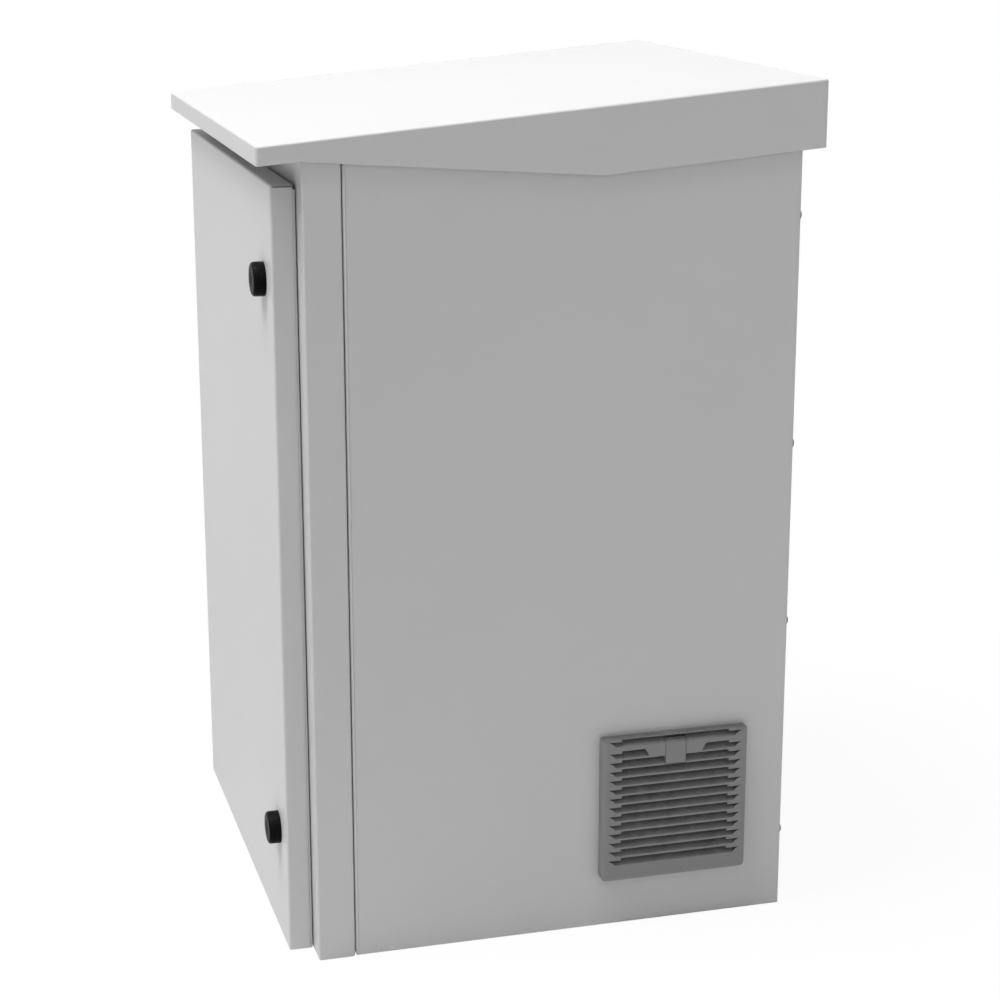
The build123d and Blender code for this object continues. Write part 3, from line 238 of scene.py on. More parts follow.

# %% [markdown]
# Four effects are shared. Fine grain is the orange skin of powder coat and the spark-eroded grain of
# moulded plastic. Slow tone is the faint cloudiness of any large surface. A soft edge turns the normal
# near sharp corners, as paint does, and gives a mask of them. The last mask marks where a face looks up:
# it is faint settled dust on the powder coat, and painted shade on the louvre slopes of the filter cover.

# %% Effect: fine grain
fine_grain, start, end = new_group(
    "fine_grain", {"Cells per metre": "value", "Sharpness": "value"}, {"Height": "value", "Tone": "value"}
)
place = add_node(fine_grain, "ShaderNodeTexCoord")
grain = add_node(fine_grain, "ShaderNodeTexNoise", {"Detail": 2.0, "Roughness": 0.5})
contrast = add_node(fine_grain, "ShaderNodeMath", {1: 0.5}, operation="SUBTRACT")
height = add_node(fine_grain, "ShaderNodeMath", operation="MULTIPLY")
fine_grain.links.new(place.outputs["Object"], grain.inputs["Vector"])
fine_grain.links.new(start.outputs["Cells per metre"], grain.inputs["Scale"])
fine_grain.links.new(grain.outputs["Fac"], contrast.inputs[0])
fine_grain.links.new(contrast.outputs[0], height.inputs[0])
fine_grain.links.new(start.outputs["Sharpness"], height.inputs[1])
fine_grain.links.new(height.outputs[0], end.inputs["Height"])
fine_grain.links.new(grain.outputs["Fac"], end.inputs["Tone"])

# %% Effect: slow tone
slow_tone, start, end = new_group("slow_tone", {"Patch size": "value"}, {"Tone": "value"})
place = add_node(slow_tone, "ShaderNodeTexCoord")
rate = add_node(slow_tone, "ShaderNodeMath", {0: 1.0}, operation="DIVIDE")
cloud = add_node(slow_tone, "ShaderNodeTexNoise", {"Detail": 3.0, "Roughness": 0.55})
slow_tone.links.new(start.outputs["Patch size"], rate.inputs[1])
slow_tone.links.new(rate.outputs[0], cloud.inputs["Scale"])
slow_tone.links.new(place.outputs["Object"], cloud.inputs["Vector"])
slow_tone.links.new(cloud.outputs["Fac"], end.inputs["Tone"])

# %% Effect: soft edge
soft_edge, start, end = new_group("soft_edge", {"Radius": "value"}, {"Normal": "vector", "Edge": "value"})
rounded = add_node(soft_edge, "ShaderNodeBevel", samples=4)
surface = add_node(soft_edge, "ShaderNodeNewGeometry")
same = add_node(soft_edge, "ShaderNodeVectorMath", operation="DOT_PRODUCT")
turned = add_node(soft_edge, "ShaderNodeMath", {0: 1.0}, operation="SUBTRACT")
strong = add_node(soft_edge, "ShaderNodeMath", {1: 5.0}, operation="MULTIPLY", use_clamp=True)
soft_edge.links.new(start.outputs["Radius"], rounded.inputs["Radius"])
soft_edge.links.new(rounded.outputs["Normal"], same.inputs[0])
soft_edge.links.new(surface.outputs["Normal"], same.inputs[1])
soft_edge.links.new(same.outputs["Value"], turned.inputs[1])
soft_edge.links.new(turned.outputs[0], strong.inputs[0])
soft_edge.links.new(rounded.outputs["Normal"], end.inputs["Normal"])
soft_edge.links.new(strong.outputs[0], end.inputs["Edge"])

# %% Effect: settled dust and painted shade
dust_and_painted_shade, start, end = new_group("dust_and_painted_shade", {"Amount": "value"}, {"Mask": "value"})
place = add_node(dust_and_painted_shade, "ShaderNodeTexCoord")
upward = add_node(dust_and_painted_shade, "ShaderNodeSeparateXYZ")
specks = add_node(dust_and_painted_shade, "ShaderNodeTexNoise", {"Scale": 60.0, "Detail": 6.0, "Roughness": 0.7})
lying = add_node(dust_and_painted_shade, "ShaderNodeMath", operation="MULTIPLY", use_clamp=True)
mask = add_node(dust_and_painted_shade, "ShaderNodeMath", operation="MULTIPLY", use_clamp=True)
dust_and_painted_shade.links.new(place.outputs["Normal"], upward.inputs[0])
dust_and_painted_shade.links.new(place.outputs["Object"], specks.inputs["Vector"])
dust_and_painted_shade.links.new(upward.outputs["Z"], lying.inputs[0])
dust_and_painted_shade.links.new(specks.outputs["Fac"], lying.inputs[1])
dust_and_painted_shade.links.new(lying.outputs[0], mask.inputs[0])
dust_and_painted_shade.links.new(start.outputs["Amount"], mask.inputs[1])
dust_and_painted_shade.links.new(mask.outputs[0], end.inputs["Mask"])
print("effects:", [group.name for group in (fine_grain, slow_tone, soft_edge, dust_and_painted_shade)])

# %% [markdown]
# Every finish here is one Principled shader. Its colour moves between two close tones by the slow tone,
# its roughness follows the fine grain, and a bump over the soft edge gives the skin. One function builds
# that, and each finish below passes the values of its own material.


# %% A finish from the shared effects
def skin(name, dark, light, patch, rough, cells, depth, edge, dust_and_shade_amount=0.0, dust_and_shade_colour=(0.45, 0.43, 0.40, 1), **constant):
    """A material: two tones, a range of roughness, grain cells per metre with a depth, and an edge radius."""
    made = bpy.data.materials.new(name)
    made.use_nodes = True
    tree = made.node_tree
    tree.nodes.clear()
    surface = add_node(tree, "ShaderNodeBsdfPrincipled", constant)
    out = add_node(tree, "ShaderNodeOutputMaterial")
    tone = place_group(tree, slow_tone, Patch_size=patch)
    colour = add_node(tree, "ShaderNodeMix", data_type="RGBA")
    colour.inputs["A"].default_value = dark
    colour.inputs["B"].default_value = light
    grain = place_group(tree, fine_grain, Cells_per_metre=cells, Sharpness=1.0)
    roughness = add_node(tree, "ShaderNodeMapRange", {"To Min": rough[0], "To Max": rough[1]})
    corner = place_group(tree, soft_edge, Radius=edge)
    bump = add_node(tree, "ShaderNodeBump", {"Strength": 1.0, "Distance": depth})
    tree.links.new(tone.outputs["Tone"], colour.inputs["Factor"])
    tree.links.new(grain.outputs["Tone"], roughness.inputs["Value"])
    tree.links.new(roughness.outputs[0], surface.inputs["Roughness"])
    tree.links.new(grain.outputs["Height"], bump.inputs["Height"])
    tree.links.new(corner.outputs["Normal"], bump.inputs["Normal"])
    tree.links.new(bump.outputs["Normal"], surface.inputs["Normal"])
    paint = colour.outputs["Result"]
    # Up-facing faces mix towards a second colour: faint settled dust on the powder coat, painted shade on the grey
    # plastic's louvre slopes.
    if dust_and_shade_amount:
        lying = place_group(tree, dust_and_painted_shade, Amount=dust_and_shade_amount)
        dust_and_shade_mix = add_node(tree, "ShaderNodeMix", data_type="RGBA")
        dust_and_shade_mix.inputs["B"].default_value = dust_and_shade_colour
        tree.links.new(lying.outputs["Mask"], dust_and_shade_mix.inputs["Factor"])
        tree.links.new(paint, dust_and_shade_mix.inputs["A"])
        paint = dust_and_shade_mix.outputs["Result"]
    tree.links.new(paint, surface.inputs["Base Color"])
    tree.links.new(surface.outputs[0], out.inputs["Surface"])
    return made


# %% [markdown]
# The panels, roof and door are steel with a light grey powder coat. Powder flows in the oven to a satin
# skin with a very shallow orange-peel wave, a couple of millimetres long.

# %% Finish: light grey powder coat
powder_coat = skin(
    "light_grey_powder_coat",
    dark=(0.585, 0.587, 0.585, 1),
    light=(0.615, 0.617, 0.615, 1),
    patch=0.25,
    rough=(0.40, 0.50),
    cells=420.0,
    depth=0.00002,
    edge=0.0006,
    dust_and_shade_amount=0.06,
    **{"Specular IOR Level": 0.45},
)

# %% [markdown]
# Rails, braces and gland plate are galvanised: metal with the flowery crystals that zinc leaves. Pins, cams
# and inner screws have a brighter, finer electroplated zinc, and the screws of the rear panel a dark one.

# %% Finishes: zinc
galvanised = skin(
    "galvanised_sheet",
    dark=(0.42, 0.44, 0.46, 1),
    light=(0.62, 0.64, 0.66, 1),
    patch=0.008,
    rough=(0.32, 0.52),
    cells=150.0,
    depth=0.00001,
    edge=0.0004,
    Metallic=1.0,
)
dark_zinc = skin(
    "dark_passivated_zinc",
    dark=(0.035, 0.035, 0.037, 1),
    light=(0.070, 0.070, 0.072, 1),
    patch=0.006,
    rough=(0.42, 0.58),
    cells=900.0,
    depth=0.00001,
    edge=0.0003,
    Metallic=0.6,
)
bright_zinc = skin(
    "bright_zinc_plate",
    dark=(0.58, 0.59, 0.60, 1),
    light=(0.70, 0.71, 0.72, 1),
    patch=0.01,
    rough=(0.22, 0.36),
    cells=900.0,
    depth=0.000008,
    edge=0.0003,
    Metallic=1.0,
)

# %% [markdown]
# The locks are black moulded plastic, the filter unit a mid grey one. Both have the dull fine grain of an
# eroded mould, so their highlights are broad. The louvre slopes face up, and their colour is darkened there
# as painted shade, in place of the shade that the slat above casts on them. Seals are matt rubber.

# %% Finishes: plastic and rubber
black_plastic = skin(
    "black_moulded_plastic",
    dark=(0.0025, 0.0025, 0.0030, 1),
    light=(0.0045, 0.0045, 0.0050, 1),
    patch=0.02,
    rough=(0.38, 0.50),
    cells=1500.0,
    depth=0.00002,
    edge=0.0008,
    **{"Specular IOR Level": 0.05},
)
grey_plastic = skin(
    "grey_moulded_plastic",
    dark=(0.215, 0.215, 0.217, 1),
    light=(0.240, 0.240, 0.242, 1),
    patch=0.05,
    rough=(0.48, 0.60),
    cells=1400.0,
    depth=0.00003,
    edge=0.0004,
    # Painted shade: a strong dark mix on the up-facing louvre slopes, in place of the shade of the slat above.
    dust_and_shade_amount=2.0,
    dust_and_shade_colour=(0.10, 0.10, 0.10, 1),
)
seal_rubber = skin(
    "black_seal_rubber",
    dark=(0.018, 0.018, 0.018, 1),
    light=(0.030, 0.030, 0.029, 1),
    patch=0.015,
    rough=(0.70, 0.88),
    cells=800.0,
    depth=0.00006,
    edge=0.0004,
)
fibre_felt = skin(
    "white_fibre_felt",
    dark=(0.62, 0.62, 0.60, 1),
    light=(0.80, 0.80, 0.78, 1),
    patch=0.004,
    rough=(0.85, 0.98),
    cells=1200.0,
    depth=0.0004,
    edge=0.001,
    **{"Sheen Weight": 0.3},
)

# %% [markdown]
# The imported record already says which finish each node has, by its slot. So the nodes are dressed by
# slot, in one loop, and nothing is forgotten.

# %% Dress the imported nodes
slot_finish = {
    "painted_steel": powder_coat,
    "hinge_casting": powder_coat,
    "galvanised_steel": galvanised,
    "zinc_plated": bright_zinc,
    "black_plastic": black_plastic,
    "grey_plastic": grey_plastic,
    "rubber": seal_rubber,
    "filter_fibre": fibre_felt,
}
slot_of = {part["node"]: part["material_slot"] for part in frame["record"]["subparts"]}
own_finish = {"upper_lock_core": black_plastic, "lower_lock_core": black_plastic, "rear_panel_washers": dark_zinc}
for name, solid in nodes.items():
    for i in range(len(solid.material_slots)):
        solid.material_slots[i].material = own_finish.get(name, slot_finish[slot_of[name]])
print("dressed", len(nodes), "nodes in", len(slot_finish), "slots")

# %% [markdown]
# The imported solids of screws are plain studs. A learner could carve their recesses with booleans, but a lathe
# of rings is lighter and always closes: each ring is a list of points round an axis, and two rings are
# joined by a band of faces. The same helper serves grommets, weld marks and swept strips.


# %% Helpers for ringed meshes
def banded(name, rings, body, finish, loop=False, sharp=35.0):
    """A piece made of rings of equal length, closed at both ends or joined into a loop."""
    count = len(rings[0])
    points = [point for ring in rings for point in ring]
    faces = []
    for i in range(len(rings) if loop else len(rings) - 1):
        a, b = i * count, (i + 1) % len(rings) * count
        faces += [(a + k, a + (k + 1) % count, b + (k + 1) % count, b + k) for k in range(count)]
    if not loop:
        faces += [tuple(range(count - 1, -1, -1)), tuple(range(len(points) - count, len(points)))]
    mesh = bpy.data.meshes.new(name)
    mesh.from_pydata(points, [], faces)
    work = bmesh.new()
    work.from_mesh(mesh)
    bmesh.ops.recalc_face_normals(work, faces=work.faces)
    work.to_mesh(mesh)
    work.free()
    mesh.polygons.foreach_set("use_smooth", [True] * len(mesh.polygons))
    mesh.set_sharp_from_angle(angle=math.radians(sharp))
    mesh.materials.append(finish)
    piece = bpy.data.objects.new(name, mesh)
    scene.collection.objects.link(piece)
    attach(piece, body)
    return piece


def turned(centre, radius, count):
    """A round ring about an axis along Y."""
    turns = [2 * math.pi * k / count for k in range(count)]
    return [centre + Vector((radius * math.cos(t), 0, radius * math.sin(t))) for t in turns]


def joined(name, parts):
    """Several pieces of one finish joined into the first, under one name."""
    mesh = bmesh.new()
    for part in parts:
        mesh.from_mesh(part.data)
    first = parts[0]
    mesh.to_mesh(first.data)
    mesh.free()
    for part in parts[1:]:
        bpy.data.objects.remove(part)
    first.name = name
    return first


def lumps(node):
    """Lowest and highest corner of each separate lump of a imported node."""
    mesh = bmesh.new()
    mesh.from_mesh(nodes[node].data)
    bmesh.ops.remove_doubles(mesh, verts=mesh.verts, dist=0.00001)
    left = set(mesh.verts)
    boxes = []
    while left:
        group, ahead = [], [left.pop()]
        while ahead:
            vert = ahead.pop()
            group.append(vert.co)
            fresh = [edge.other_vert(vert) for edge in vert.link_edges]
            fresh = [other for other in fresh if other in left]
            left.difference_update(fresh)
            ahead += fresh
        low = Vector([min(point[i] for point in group) for i in range(3)])
        high = Vector([max(point[i] for point in group) for i in range(3)])
        boxes.append((low, high))
    mesh.free()
    return sorted(boxes, key=lambda box: tuple(box[0]))


print("lumps of the rear screws:", len(lumps("rear_panel_screws")))

# %% [markdown]
# A pan-head screw has a low dome with a cross recess. The recess is drawn as a star-shaped ring: in each
# direction round the axis, the nearer of the arm's end and the arm's side. Below it a smaller star and the
# floor of the recess follow. The whole screw with its shank takes the place of the plain stud.


# %% Screws with cross recesses
def cross_reach(turn, length, width):
    """Distance from the middle of a cross to its outline in one direction."""
    off_arm = abs((turn + math.pi / 4) % (math.pi / 2) - math.pi / 4)
    end = length / 2 / math.cos(off_arm)
    return end if off_arm < math.atan2(width, length) else width / 2 / math.sin(off_arm)


def screw_rings(seat, axis, head_radius, head_height, shank_radius, shank_length, twist):
    """Rings from the floor of the recess, over the dome and the rim, down the shank."""
    around = 40
    side = axis.orthogonal().normalized()
    other = axis.cross(side)
    arm, slot_width, depth = 1.15 * head_radius, 0.24 * head_radius, 0.55 * head_height

    def ring(radius, height):
        points = []
        for k in range(around):
            turn = 2 * math.pi * k / around
            reach = radius(turn) if callable(radius) else radius
            spoke = side * math.cos(turn + twist) + other * math.sin(turn + twist)
            points.append(seat + axis * height + spoke * reach)
        return points

    crown = 0.985 * head_height
    rings = [
        ring(lambda turn: 0.25 * cross_reach(turn, arm, slot_width), crown - depth),
        ring(lambda turn: 0.80 * cross_reach(turn, arm, slot_width), crown - 0.8 * depth),
        ring(lambda turn: cross_reach(turn, arm, slot_width), crown - 0.04 * head_height),
        ring(lambda turn: cross_reach(turn, 1.04 * arm, 1.25 * slot_width), crown),
    ]
    for share in (0.62, 0.72, 0.82, 0.90, 0.96, 1.0):
        rings.append(ring(share * head_radius, head_height * (0.30 + 0.68 * math.sqrt(max(0.0, 1 - share**2.6)))))
    rings.append(ring(head_radius, 0.06 * head_height))
    rings.append(ring(0.97 * head_radius, 0.0))
    rings.append(ring(shank_radius, 0.0))
    rings.append(ring(shank_radius, -0.92 * shank_length))
    rings.append(ring(0.6 * shank_radius, -shank_length))
    return rings


def screws(node, axis, head_height, shank_radius, body, finish, stud_head=None):
    """Detailed screws in place of a node of plain studs; stud_head is the stud's head where it is taller."""
    seat_depth = stud_head or head_height
    made = []
    for low, high in lumps(node):
        middle_point = (low + high) / 2
        span = max(abs(axis[i]) * (high - low)[i] for i in range(3))
        flat = [i for i in range(3) if not round(axis[i])]
        head_radius = min((high - low)[i] for i in flat) / 2
        outward = axis if node != "rail_screws" or middle_point.x < 0 else -axis
        seat = middle_point + outward * (span / 2 - seat_depth)
        turn = random.uniform(0.0, math.pi / 2)
        rings = screw_rings(seat, outward, head_radius, head_height, shank_radius, span - seat_depth, turn)
        made.append(banded(f"{node}_{len(made)}", rings, body, finish))
    whole = joined(f"{node}_detailed", made)
    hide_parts(node)
    print(whole.name, "stands for", len(made), "studs")
    return whole


random.seed(7)
screws("rear_panel_screws", Vector((0, 1, 0)), 2.8 * MM, 3.0 * MM, "cabinet", dark_zinc, 4.6 * MM)
screws("gland_plate_screws", Vector((0, 0, 1)), 2.4 * MM, 2.0 * MM, "cabinet", bright_zinc)
screws("fan_screws", Vector((-1, 0, 0)), 2.6 * MM, 2.0 * MM, "cabinet", bright_zinc)
screws("rail_screws", Vector((1, 0, 0)), 3.3 * MM, 3.0 * MM, "cabinet", bright_zinc)

# %% [markdown]
# The core of each lock reaches almost to the face of its head, and the key's slot goes through it. The
# packed core ends lower, so a cap with the same slot is set on it: an outer ring with a soft rim and an
# inner ring in the shape of the slot, joined into a loop.


# %% Caps on the lock cores
def slot_reach(turn, half_length, half_width):
    """Distance from the middle of an upright round-ended slot to its outline in one direction."""
    flat = half_length - half_width
    across, along = abs(math.cos(turn)), abs(math.sin(turn))
    if along * half_width <= flat * across:
        return half_width / across
    return flat * along + math.sqrt(half_width**2 - (flat * across) ** 2)


cap_radius, cap_rim = 6.9 * MM, 0.5 * MM
slot_half_length, slot_half_width = 4.0 * MM, 1.5 * MM
lock_turns = 64
for name in ("upper_lock", "lower_lock"):
    low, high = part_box(f"{name}_core")
    face_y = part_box("lock_housings")[0].y + 0.3 * MM
    axis_point = Vector(((low.x + high.x) / 2, 0, (low.z + high.z) / 2))
    rings = []
    for radius, y in ((cap_radius, low.y), (cap_radius, face_y + cap_rim), (0.93 * cap_radius, face_y)):
        rings.append(turned(axis_point + Vector((0, y, 0)), radius, lock_turns))
    for y in (face_y, low.y):
        ring = []
        for k in range(lock_turns):
            turn = 2 * math.pi * k / lock_turns
            reach = slot_reach(turn, slot_half_length, slot_half_width)
            ring.append(axis_point + Vector((reach * math.cos(turn), y, reach * math.sin(turn))))
        rings.append(ring)
    banded(f"{name}_core_cap", rings, name, black_plastic, loop=True)
print("two caps on the lock cores")

# %% [markdown]
# Each lock head has a soft-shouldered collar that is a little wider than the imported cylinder, so the collar is
# turned as a closed ring that wraps it, from the door's face up to the edge of the flat front.

# %% Collars round the lock heads
door_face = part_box("door")[0].y
head_height = door_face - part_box("lock_housings")[0].y
collar = [(16.0, 0.02), (17.8, 0.02), (17.8, 0.72), (17.5, 0.84)]
collar += [(16.9, 0.93), (15.9, 0.985), (14.9, 1.004), (14.6, 0.98)]
collars = []
for name in ("upper_lock", "lower_lock"):
    low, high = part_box(f"{name}_core")
    axis_point = Vector(((low.x + high.x) / 2, 0, (low.z + high.z) / 2))
    rings = []
    for radius, share in collar:
        centre = axis_point + Vector((0, door_face - share * head_height, 0))
        rings.append(turned(centre, radius * MM, lock_turns))
    collars.append(banded(f"{name}_collar", rings, "door", black_plastic, loop=True))
joined("lock_head_collars", collars)
print("collars:", len(collars))

# %% [markdown]
# Seen from outside, the gap behind the door and the seam beside the frame are fine lines. The folded solids
# leave them a little wide, so each edge gets its hem: a painted lip on the right and lower edges of the door,
# and a lip along the front fold of each side panel. The hinge side of the door needs its room, and its top
# lies under the roof, so they have none.

# %% Hem at the door's edge
low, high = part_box("door")
hem_reach, hem_width, hem_root = 2.3 * MM, 5.0 * MM, 0.3 * MM
fold = 3.0 * MM
slit_low = high.z - 5.0 * MM
route = [(Vector((high.x, high.y, slit_low)), Vector((1, 0, 0)))]
for k in range(7):
    turn = -math.pi / 2 * k / 6
    outward = Vector((math.cos(turn), 0, math.sin(turn)))
    route.append((Vector((high.x - fold, high.y, low.z + fold)) + outward * fold, outward))
route.append((Vector((low.x + 25.0 * MM, high.y, low.z)), Vector((0, 0, -1))))
section = [(0.0, -hem_root), (0.0, 0.75 * hem_reach), (-0.12 * hem_reach, 0.93 * hem_reach)]
section += [(-0.3 * hem_reach, hem_reach), (-hem_width, hem_reach), (-hem_width, -hem_root)]
rings = []
for point, outward in route:
    rings.append([point + outward * across + Vector((0, along, 0)) for across, along in section])
banded("door_edge_hem", rings, "door", powder_coat)
print("door hem of", len(rings), "rings")

# %% Hems at the seams
seam_reach, seam_depth, seam_end, seam_root = 0.9 * MM, 10.0 * MM, 2.6 * MM, 0.02 * MM
fold = 2.5 * MM
for side, name in ((-1, "left"), (1, "right")):
    low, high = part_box(f"{name}_side_panel")
    outer_x = side * max(abs(low.x), abs(high.x))
    front = low.y
    turns = [math.pi / 2 * k / 6 for k in range(7)]
    new_fold = [(fold * (1 - math.sin(t)), fold * (1 - math.cos(t)) - seam_reach) for t in turns]
    old_fold = [(x + seam_root, y + seam_reach + seam_root) for x, y in reversed(new_fold)]
    section = [(seam_depth, seam_root), (seam_depth, -seam_reach)] + new_fold + old_fold
    heights = (low.z + seam_end, high.z - seam_end)
    rings = [[Vector((outer_x - side * x, front + y, z)) for x, y in section] for z in heights]
    banded(f"{name}_seam_hem", rings, "cabinet", powder_coat)
print("two seam hems")

# %% [markdown]
# The filter cover is a moulding, and mouldings have crowned edges: its face rolls down over the last few
# millimetres at the top and both sides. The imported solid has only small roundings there. A copy of its mesh
# is cut into strips along those edges, and the strips are lowered onto the crown. Behind its lower edge the
# tilted cover lies against the housing, so the floor of that pocket gets a hair of room.

# %% Crowned filter cover
low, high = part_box("filter_cover")
crown_width, crown_drop, strips = 6.5 * MM, 3.2 * MM, 7
pocket_floor, pocket_room = low.z + 2.2 * MM, 0.15 * MM
work = bmesh.new()
work.from_mesh(nodes["filter_cover"].data)
bmesh.ops.remove_doubles(work, verts=work.verts, dist=0.000004)
for k in range(1, strips + 1):
    reach = crown_width * (1 - math.cos(math.pi / 2 * k / strips))
    cuts = [((0, low.y + reach, 0), (0, 1, 0)), ((0, high.y - reach, 0), (0, 1, 0)), ((0, 0, high.z - reach), (0, 0, 1))]
    for place, across in cuts:
        everything = work.verts[:] + work.edges[:] + work.faces[:]
        bmesh.ops.bisect_plane(work, geom=everything, dist=0.000001, plane_co=place, plane_no=across)
for vert in work.verts:
    reach = min(vert.co.y - low.y, high.y - vert.co.y, high.z - vert.co.z)
    if reach < crown_width:
        share = 1 - max(0.0, reach) / crown_width
        vert.co.x = min(vert.co.x, high.x - crown_drop * (1 - math.sqrt(1 - share * share)))
    if abs(vert.co.z - pocket_floor) < 0.05 * MM and vert.co.x > low.x + 2.0 * MM:
        vert.co.z -= pocket_room
cover_mesh = bpy.data.meshes.new("crowned_filter_cover")
work.to_mesh(cover_mesh)
work.free()
if "custom_normal" in cover_mesh.attributes:
    cover_mesh.attributes.remove(cover_mesh.attributes["custom_normal"])
cover_mesh.polygons.foreach_set("use_smooth", [True] * len(cover_mesh.polygons))
cover_mesh.set_sharp_from_angle(angle=math.radians(28.0))
cover_mesh.materials.clear()
cover_mesh.materials.append(grey_plastic)
cover = bpy.data.objects.new("crowned_filter_cover", cover_mesh)
scene.collection.objects.link(cover)
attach(cover, "filter_cover")
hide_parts("filter_cover")
print("crowned cover of", len(cover_mesh.polygons), "faces")

# %% [markdown]
# The door is sealed by a bead of foam that a nozzle lays round the inside of the door, so it has round
# corners, a domed section, and a skin that is never quite even. It is swept as rings of a D section along a
# rounded rectangle. The edge of the frame leaves a dent in it.

# %% Foam bead round the door
low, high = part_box("door_gasket")
bead_width = 14.0 * MM
bead_height = high.y - low.y
corner = 16.0 * MM
half_x = (high.x - low.x - bead_width) / 2
half_z = (high.z - low.z - bead_width) / 2
centre_x, centre_z = (high.x + low.x) / 2, (high.z + low.z) / 2
route = []
for quarter, (sx, sz) in enumerate(((1, 1), (-1, 1), (-1, -1), (1, -1))):
    for k in range(9):
        turn = math.pi / 2 * (quarter + k / 8)
        outward = Vector((math.cos(turn), 0, math.sin(turn)))
        start_point = Vector((centre_x + sx * (half_x - corner), low.y, centre_z + sz * (half_z - corner)))
        route.append((start_point + outward * corner, outward))
filled = []
for (point, outward), (after, after_outward) in zip(route, route[1:] + route[:1]):
    steps = max(1, int((after - point).length / (7.0 * MM)))
    for k in range(steps):
        filled.append((point.lerp(after, k / steps), outward.lerp(after_outward, k / steps).normalized()))
rings = []
for point, outward in filled:
    ring = []
    for k in range(15):
        turn = math.pi * k / 14
        swell = 1 - 0.035 * (1 + noise.noise(point * 55 + Vector((0, 3.1 * k, 0))))
        dent = 0.10 * math.exp(-(((turn - math.pi / 2) / 0.22) ** 2))
        across = bead_width / 2 * math.cos(turn) * swell
        rise = bead_height * (math.sin(turn) ** 0.7) * (swell - dent)
        ring.append(point + outward * across + Vector((0, rise, 0)))
    rings.append(ring)
foam_bead = banded("door_foam_bead", rings, "door", seal_rubber, loop=True, sharp=60.0)
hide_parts("door_gasket")
print("foam bead of", len(rings), "rings")

# %% [markdown]
# The seams beside the frame hold thin rubber strips, squeezed to about two millimetres. Squeezed rubber
# bulges between its edges and isn't perfectly straight, so each strip is a swept lens section that wanders
# by a few tenths of a millimetre.

# %% Strips in the seams
for side in ("left", "right"):
    low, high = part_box(f"{side}_panel_seal")
    rings = []
    for k in range(145):
        share = k / 144
        wander = 0.25 * MM * noise.noise(Vector((share * 30, 0.5 if side == "left" else 9.5, 0)))
        middle_x = (low.x + high.x) / 2 + wander
        half_width = (high.x - low.x) / 2 - 0.4 * MM
        ring = []
        for j in range(14):
            turn = 2 * math.pi * j / 14
            thick = (high.y - low.y) / 2 * (0.86 + 0.14 * abs(math.cos(turn)))
            ring.append(
                Vector(
                    (
                        middle_x + half_width * math.copysign(abs(math.cos(turn)) ** 0.6, math.cos(turn)),
                        (low.y + high.y) / 2 + thick * math.copysign(abs(math.sin(turn)) ** 0.5, math.sin(turn)),
                        low.z + share * (high.z - low.z),
                    )
                )
            )
        rings.append(ring)
    strip = banded(f"{side}_seam_strip", rings, "cabinet", seal_rubber, sharp=50.0)
    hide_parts(f"{side}_panel_seal")
print("two seam strips")

# %% [markdown]
# Cable grommets are moulded rubber cones with steps, where the fitter cuts the ring that suits the cable. A
# lathe profile gives the two rims, the groove that grips the plate and the stepped cone.

# %% Stepped cable grommets
grommets = []
for low, high in lumps("cable_grommets"):
    axis_x, axis_y = (low.x + high.x) / 2, (low.y + high.y) / 2
    outer = (high.x - low.x) / 2
    neck, mouth = outer - 4.0 * MM, 6.4 * MM
    base = low.z
    profile = [(mouth, 0.0), (outer - 0.5 * MM, 0.0), (outer, 0.5 * MM), (outer, 1.3 * MM)]
    profile += [(neck, 1.6 * MM), (neck, 3.6 * MM)]
    profile += [(outer, 3.7 * MM), (outer, 5.4 * MM), (outer - 0.8 * MM, 6.1 * MM), (neck, 6.1 * MM)]
    for step in range(4):
        radius = neck - (0.6 + 2.0 * step) * MM
        floor_height = 6.1 * MM + 2.4 * step * MM
        profile += [(radius, floor_height + 0.3 * MM), (radius - 0.3 * MM, floor_height + 2.1 * MM)]
        profile.append((radius - 1.2 * MM, floor_height + 2.4 * MM))
    profile += [(2.0 * MM, 15.9 * MM), (2.0 * MM, 14.4 * MM), (mouth, 14.2 * MM)]
    rings = []
    for radius, height in profile:
        turns = [2 * math.pi * k / 48 for k in range(48)]
        spokes = [(axis_x + radius * math.cos(t), axis_y + radius * math.sin(t)) for t in turns]
        rings.append([Vector((x, y, base + height)) for x, y in spokes])
    grommets.append(banded(f"grommet_{len(grommets)}", rings, "cabinet", seal_rubber, loop=True, sharp=30.0))
stepped = joined("stepped_cable_grommets", grommets)
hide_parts("cable_grommets")
print("grommets:", len(grommets))

# %% [markdown]
# The filter mat is a pad of loose fibre. It is a grid bent round the edge of the pad: the face is lumpy, the
# rim is pressed thin, and the finish adds the fine fibres.

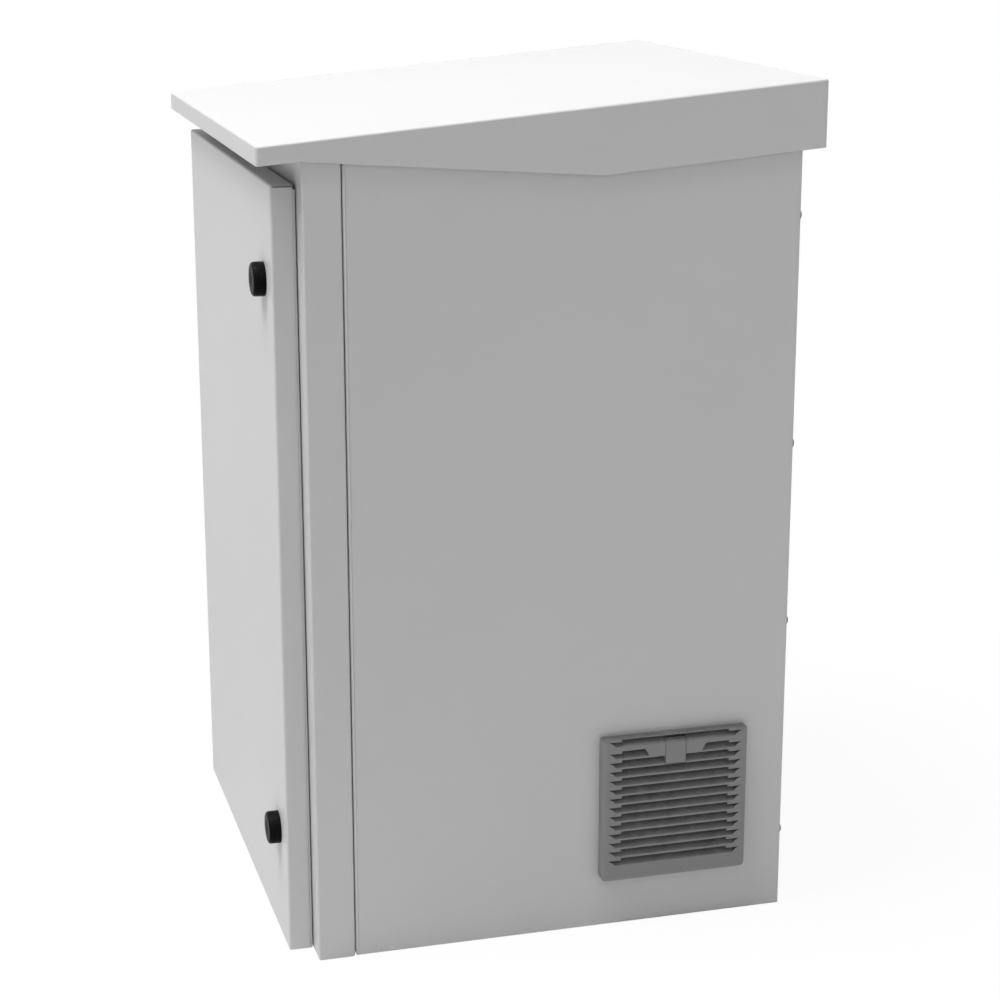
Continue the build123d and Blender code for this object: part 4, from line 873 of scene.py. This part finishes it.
# %% Filter mat
low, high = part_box("filter_mat")
cells = 56
face_points = []
for j in range(cells + 1):
    for i in range(cells + 1):
        across, along = i / cells, j / cells
        rim = min(across, 1 - across, along, 1 - along)
        puff = 1 - 0.55 * math.exp(-rim * 40)
        lump = 0.10 * noise.noise(Vector((across * 9, along * 9, 2.0)))
        lump += 0.05 * noise.noise(Vector((across * 31, along * 31, 5.0)))
        depth = (high.x - low.x) * min(1.0, puff * (0.88 + lump))
        face_points.append(Vector((low.x + depth, low.y + across * (high.y - low.y), low.z + along * (high.z - low.z))))
back_points = [Vector((low.x, point.y, point.z)) for point in face_points]
faces = []
row = cells + 1
shift = len(face_points)
for j in range(cells):
    for i in range(cells):
        a = j * row + i
        faces += [(a, a + 1, a + row + 1, a + row), (shift + a, shift + a + row, shift + a + row + 1, shift + a + 1)]
edge = list(range(cells)) + [k * row + cells for k in range(cells)]
edge += [cells * row + cells - k for k in range(cells)] + [(cells - k) * row for k in range(cells)]
faces += [(a, shift + a, shift + b, b) for a, b in zip(edge, edge[1:] + edge[:1])]
mat_mesh = bpy.data.meshes.new("fibre_mat")
mat_mesh.from_pydata(face_points + back_points, [], faces)
mat_mesh.polygons.foreach_set("use_smooth", [True] * len(mat_mesh.polygons))
mat_mesh.materials.append(fibre_felt)
fibre_mat = bpy.data.objects.new("fibre_mat", mat_mesh)
scene.collection.objects.link(fibre_mat)
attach(fibre_mat, "cabinet")
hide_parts("filter_mat")
print("fibre mat of", len(faces), "faces")

# %% [markdown]
# Folded sheet is joined by spot welds, which leave shallow round dimples with a raised rim. The stiffeners
# inside the door have a row of them along each foot, so small lathe rings are set there.

# %% Spot welds on the door's stiffeners
welds = []
for side in ("left", "right"):
    low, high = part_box(f"{side}_door_stiffener")
    for foot_x in (low.x + 6.0 * MM, high.x - 6.0 * MM):
        for k in range(9):
            height = low.z + (high.z - low.z) * (k + 0.5) / 9
            seat = Vector((foot_x, low.y + 1.5 * MM, height))
            rings = []
            for radius, rise in ((2.9, 0.01), (2.7, 0.12), (2.3, 0.14), (1.9, 0.06), (0.7, 0.03)):
                rings.append(turned(seat + Vector((0, rise * MM, 0)), radius * MM, 20))
            welds.append(banded(f"weld_{side}_{len(welds)}", rings, "door", galvanised, sharp=60.0))
joined("stiffener_spot_welds", welds)
print("spot welds:", len(welds))

# %% Both boxes: the imported solids and what is shown
low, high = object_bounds()
{"cad": [list(cad_low), list(cad_high)], "visual": [list(low), list(high)]}
